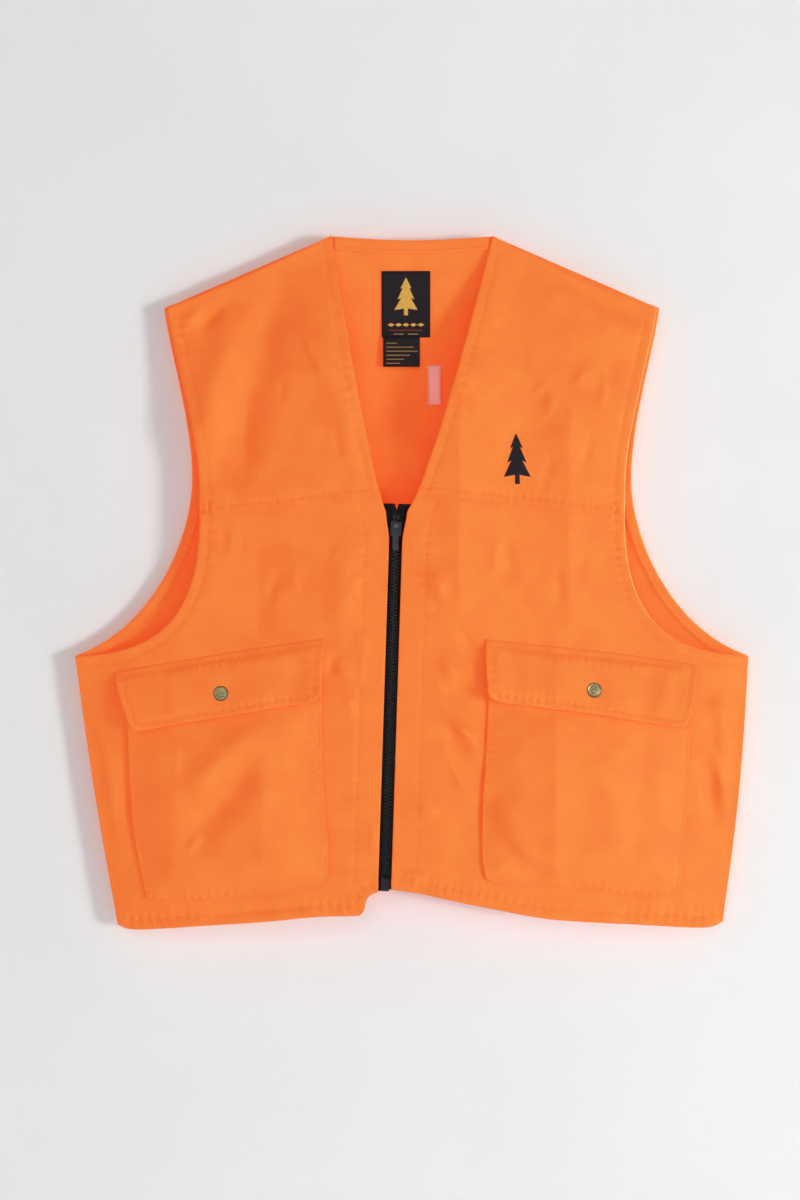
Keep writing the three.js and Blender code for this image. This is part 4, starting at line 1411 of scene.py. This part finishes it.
for name, side in sides.items():
    snap = FLAPS[name]["snap"]
    origin, along, back, up = flap_frame(name)
    seat = origin + along * snap[0] + up * snap[1] - back * 0.6
    profile = [(0, 0.1), (7.3, 0.1), (7.65, -0.35), (7.5, -0.95), (6.9, -1.3), (6.3, -1.2), (6.0, -0.95),
               (5.6, -1.0), (4.2, -1.3), (2.2, -1.5), (0.4, -1.55)]
    shapes = [turned(profile[::-1])]
    shapes += [petal(k * math.tau / 8 + 0.2, 4.9, 0.8, -1.12) for k in range(8)]
    shapes.append(turned([(0.3, -1.85), (0.9, -1.75), (1.1, -1.4)]))
    beads = [turned([(0.1, -1.62), (0.22, -1.5), (0.3, -1.2)], 6) for _ in range(28)]
    for k, (points, faces) in enumerate(beads):
        at = k * math.tau / 28
        shapes.append((points + (5.55 * math.cos(at), 0.32, 5.55 * math.sin(at)), faces))
    points, faces = many(shapes)
    points = seat + points[:, :1] * along + points[:, 1:2] * back + points[:, 2:] * up
    cap = make(f"snap_cap_{name}_antique", points, faces, BRASS_LOOK)
    settle(cap, f"{name}_flap", [f"snap_cap_{name}"])
    for part in ("socket", "stud", "post"):
        dress(f"snap_{part}_{name}", BRASS_LOOK, 0.15)


# ---- Labels ----


def patch(name, low, high, depth, thickness, look, node_name, body="vest"):
    """A rectangle of label cloth, its front at the depth given for X and Z."""
    xs = np.linspace(low[0], high[0], int((high[0] - low[0]) / LABEL_SPACING) + 1)
    zs = np.linspace(high[2], low[2], int((high[2] - low[2]) / LABEL_SPACING) + 1)
    gx, gz = np.meshgrid(xs, zs)
    gx, gz = gx.ravel(), gz.ravel()
    outer = columns(gx, depth(gx, gz), gz)
    inner = outer + (0, thickness, 0)
    points, solid = shell(outer, inner, quads(len(zs), len(xs), True))
    settle(make(name, points, solid, look), body, [node_name])


def motif(name, shapes, depth, height, look, body="vest", nodes=(), spacing=1.2):
    """Embroidered or woven shapes that stand proud of the cloth behind them."""
    parts = []
    for loop in shapes:
        loop = counter(np.array(loop, float))
        whole = np.vstack([loop, loop[:1]])
        flat, faces = flat_mesh(evenly(whole, spacing)[:-1], spacing)
        far, _ = nearest(flat, whole)
        rise = height * (0.45 + 0.55 * smooth(far / (2.2 * height)))
        y = depth(*flat.T)
        outer = at_depth(flat, y - rise)
        inner = at_depth(flat, y + 0.05)
        parts.append(shell(outer, inner, faces, 0.2))
    points, faces = many(parts)
    settle(make(name, points, faces, look), body, nodes)


def bar(x0, x1, z0, z1):
    return [(x0, z0), (x1, z0), (x1, z1), (x0, z1)]


def pine(centre, top, width, height, lean=0.0):
    """A plain pine tree: three tiers of boughs on a short trunk."""
    boughs = [(0, 0), (0.24, 0.3), (0.13, 0.27), (0.36, 0.58), (0.2, 0.54), (0.5, 0.86)]
    tiers = [*boughs, (0.08, 0.82), (0.09, 1)]
    right = [(centre + width * a + lean * b * height, top - height * b) for a, b in tiers]
    left = [(centre - width * a + lean * b * height, top - height * b) for a, b in tiers[:0:-1]]
    return right + left


label_low, label_high = box_mm("neck_label")
care_low, care_high = box_mm("care_label")
strip_low, strip_high = box_mm("size_sticker")


def inner_back(x, z):
    return back_out(x, z) - CLOTH


def label_depth(x, z):
    return inner_back(x, z) - 1.5 - 0.35 * np.sin((z + 40) / 13) * smooth((-40 - z) / 20)


def care_depth(x, z):
    hang = smooth((care_high[2] - z) / 26)
    return care_low[1] - 0.1 - 0.6 * hang * np.sin((x - care_low[0]) / 12)


patch("neck_label_satin", label_low, label_high, label_depth, 0.5, LABEL_LOOK, "neck_label")
patch(
    "care_label_satin",
    care_low,
    care_high,
    care_depth,
    0.35,
    LABEL_LOOK,
    "care_label",
    "care_tag",
)
middle = (label_low[0] + label_high[0]) / 2
motif("label_tree", [pine(middle, -41, 24, 38)], label_depth, 0.25, GOLD_LOOK)
diamonds = []
for k in range(5):
    x = middle - 15.2 + 7.6 * k
    diamonds.append([(x - 3.5, -88.5), (x, -90.6), (x + 3.5, -88.5), (x, -86.4)])
motif("label_diamonds", diamonds, label_depth, 0.2, GOLD_LOOK, spacing=1.6)
red_line = bar(middle - 17, middle + 17, -94.3, -93.6)
motif("label_red_line", [red_line], label_depth, 0.15, RED_LOOK)
dashes = [bar(middle - 12.5, middle - 2, -98.4, -97.3), bar(middle + 2, middle + 12.5, -98.4, -97.3)]
motif("label_dashes", dashes, label_depth, 0.15, FADED_GOLD_LOOK)
rows = []
for k, reach in enumerate((12, 29, 33, 25, 19, 15)):
    z = care_high[2] - 5.5 - 4.1 * k
    rows.append(bar(care_low[0] + 2.5, care_low[0] + 2.5 + reach, z - 1.0, z))
motif("care_rows", rows, care_depth, 0.12, FADED_GOLD_LOOK, "care_tag", spacing=2.0)
path = evenly(rectangle(label_low, label_high, 1.5, 2), 2)
label_seam = at_depth(path, label_depth(*path.T) - 0.05)
stitches("stitch_label", label_seam, FRONTWARDS, INK_LOOK, 2.4, 0.4)


def strip_depth(x, z):
    curl = smooth((strip_high[0] - 3 - x) / 12)
    return inner_back(x, z) - 0.9 - 2.2 * (1 - curl) * smooth((strip_high[2] - z) / 40)


patch("size_strip_film", strip_low, strip_high, strip_depth, 0.25, FILM_LOOK, "size_sticker")


mark_low, mark_high = box_mm("chest_embroidery")
mark_middle = (mark_low[0] + mark_high[0]) / 2
motif(
    "chest_tree",
    [pine(mark_middle, mark_high[2], mark_high[0] - mark_low[0], mark_high[2] - mark_low[2], 0.03)],
    yoke_out, 0.7, INK_LOOK, "vest", ["chest_embroidery"], 1.3,
)

# Back neck, licence tab and its lines that show inside
stitches("stitch_neck", on_back(BACK_LINES["neck"], -CLOTH - 2.2), FRONTWARDS)
TAB_ROWS_APART = 6.5
for off in (0, TAB_ROWS_APART):
    left = tab_low[0] + 1 + off
    top = tab_high[2] - 2 - off
    corner = np.array([(left, tab_low[2] + 1), (left, top), (tab_high[0] - 1, top)])
    stitches(f"stitch_tab_inside_{int(off)}", on_back(corner, -CLOTH - 0.2), FRONTWARDS)
stitches("stitch_tab_outside", on_back(rectangle(tab_low, tab_high, 2, 2)[::-1], 1.2), BACKWARDS)


# ---- Camera, light, wall and floor ----

# Metres from here on: where the camera looks, and where the lamps aim
CENTRE_X = -0.012
CENTRE_Z = -0.368
CAMERA_Y = -2.025
AIM = (0, 0, -0.36)
ROOM_HALF = 5
ROOM_TOP = 3

eye = bpy.data.cameras.new("camera")
eye.lens = 60
eye.sensor_fit = "VERTICAL"
eye.sensor_height = 36
eye.clip_end = 50
camera = bpy.data.objects.new("camera", eye)
bpy.context.scene.collection.objects.link(camera)
camera.location = (CENTRE_X, CAMERA_Y, CENTRE_Z)
camera.rotation_euler = (math.radians(90), 0, 0)
bpy.context.scene.camera = camera


def lamp(name, place, power, size, colour=(1, 1, 1)):
    light = bpy.data.lights.new(name, "AREA")
    light.shape = "RECTANGLE"
    light.size, light.size_y = size
    light.energy = power
    light.color = colour
    obj = bpy.data.objects.new(name, light)
    bpy.context.scene.collection.objects.link(obj)
    obj.location = place
    direction = Vector(AIM) - Vector(place)
    obj.rotation_euler = direction.to_track_quat("-Z", "Y").to_euler()


lamp("key", (4.1, -3.3, -0.9), 160, (0.95, 1.05), (1.0, 0.985, 0.965))
lamp("front_fill", (-0.7, -2.9, 0.6), 13, (1.6, 1.6), (0.97, 0.985, 1.0))
lamp("back_key", (3.4, 1.7, 0.7), 190, (0.7, 0.7))
lamp("back_fill", (-1.6, 2.8, -0.3), 12, (1.8, 1.8))

world = bpy.data.worlds.new("studio")
world.use_nodes = True
background = world.node_tree.nodes["Background"]
background.inputs["Color"].default_value = (0.97, 0.985, 1.0, 1)
background.inputs["Strength"].default_value = 0.19
bpy.context.scene.world = world


def plaster(name, one_sided=False):
    """Wall paint; a one-sided wall can't be seen from behind."""
    material, tree, shader = principled(name, (0.82, 0.825, 0.83), 0.9, specular=0.1)
    place = tree.nodes.new("ShaderNodeTexCoord")
    cloudy = noise(tree, place, 300, 3)
    dark = (0.80, 0.805, 0.81)
    light = (0.83, 0.835, 0.84)
    colours(tree, cloudy, shader.inputs["Base Color"], (0.3, dark), (0.7, light))
    bumped(tree, shader, [(noise(tree, place, 30, 4), 0.15, 0.5)])
    if one_sided:
        shape = tree.nodes.new("ShaderNodeNewGeometry")
        clear = tree.nodes.new("ShaderNodeBsdfTransparent")
        mix = tree.nodes.new("ShaderNodeMixShader")
        tree.links.new(shape.outputs["Backfacing"], mix.inputs[0])
        tree.links.new(shader.outputs[0], mix.inputs[1])
        tree.links.new(clear.outputs[0], mix.inputs[2])
        tree.links.new(mix.outputs[0], tree.nodes["Material Output"].inputs[0])
    return material


def backdrop(name, corners, material):
    mesh = bpy.data.meshes.new(name)
    mesh.from_pydata(corners, [], [(0, 1, 2, 3)])
    obj = bpy.data.objects.new(name, mesh)
    bpy.context.scene.collection.objects.link(obj)
    obj.data.materials.append(material)
    return obj


def upright(x0, y0, x1, y1):
    """The corners of a wall from floor to ceiling."""
    return [(x0, y0, FLOOR_Z), (x1, y1, FLOOR_Z), (x1, y1, ROOM_TOP), (x0, y0, ROOM_TOP)]


WALL_Y = float(cad_box[1][1]) + 0.007
FLOOR_Z = -1.25
wall = backdrop("wall", upright(-ROOM_HALF, WALL_Y, ROOM_HALF, WALL_Y), plaster("wall_paint", True))
wall.visible_shadow = False
far_paint = plaster("far_paint")
backdrop("far_wall", upright(-ROOM_HALF, -ROOM_HALF, ROOM_HALF, -ROOM_HALF), far_paint)
backdrop("left_wall", upright(-ROOM_HALF, -ROOM_HALF, -ROOM_HALF, ROOM_HALF), far_paint)
backdrop("right_wall", upright(ROOM_HALF, -ROOM_HALF, ROOM_HALF, ROOM_HALF), far_paint)
floor = [(ROOM_HALF * x, ROOM_HALF * y, FLOOR_Z) for x, y in ((-1, -1), (1, -1), (1, 1), (-1, 1))]
backdrop("floor", floor, plaster("floor_paint"))

bpy.context.scene.view_settings.view_transform = "Standard"
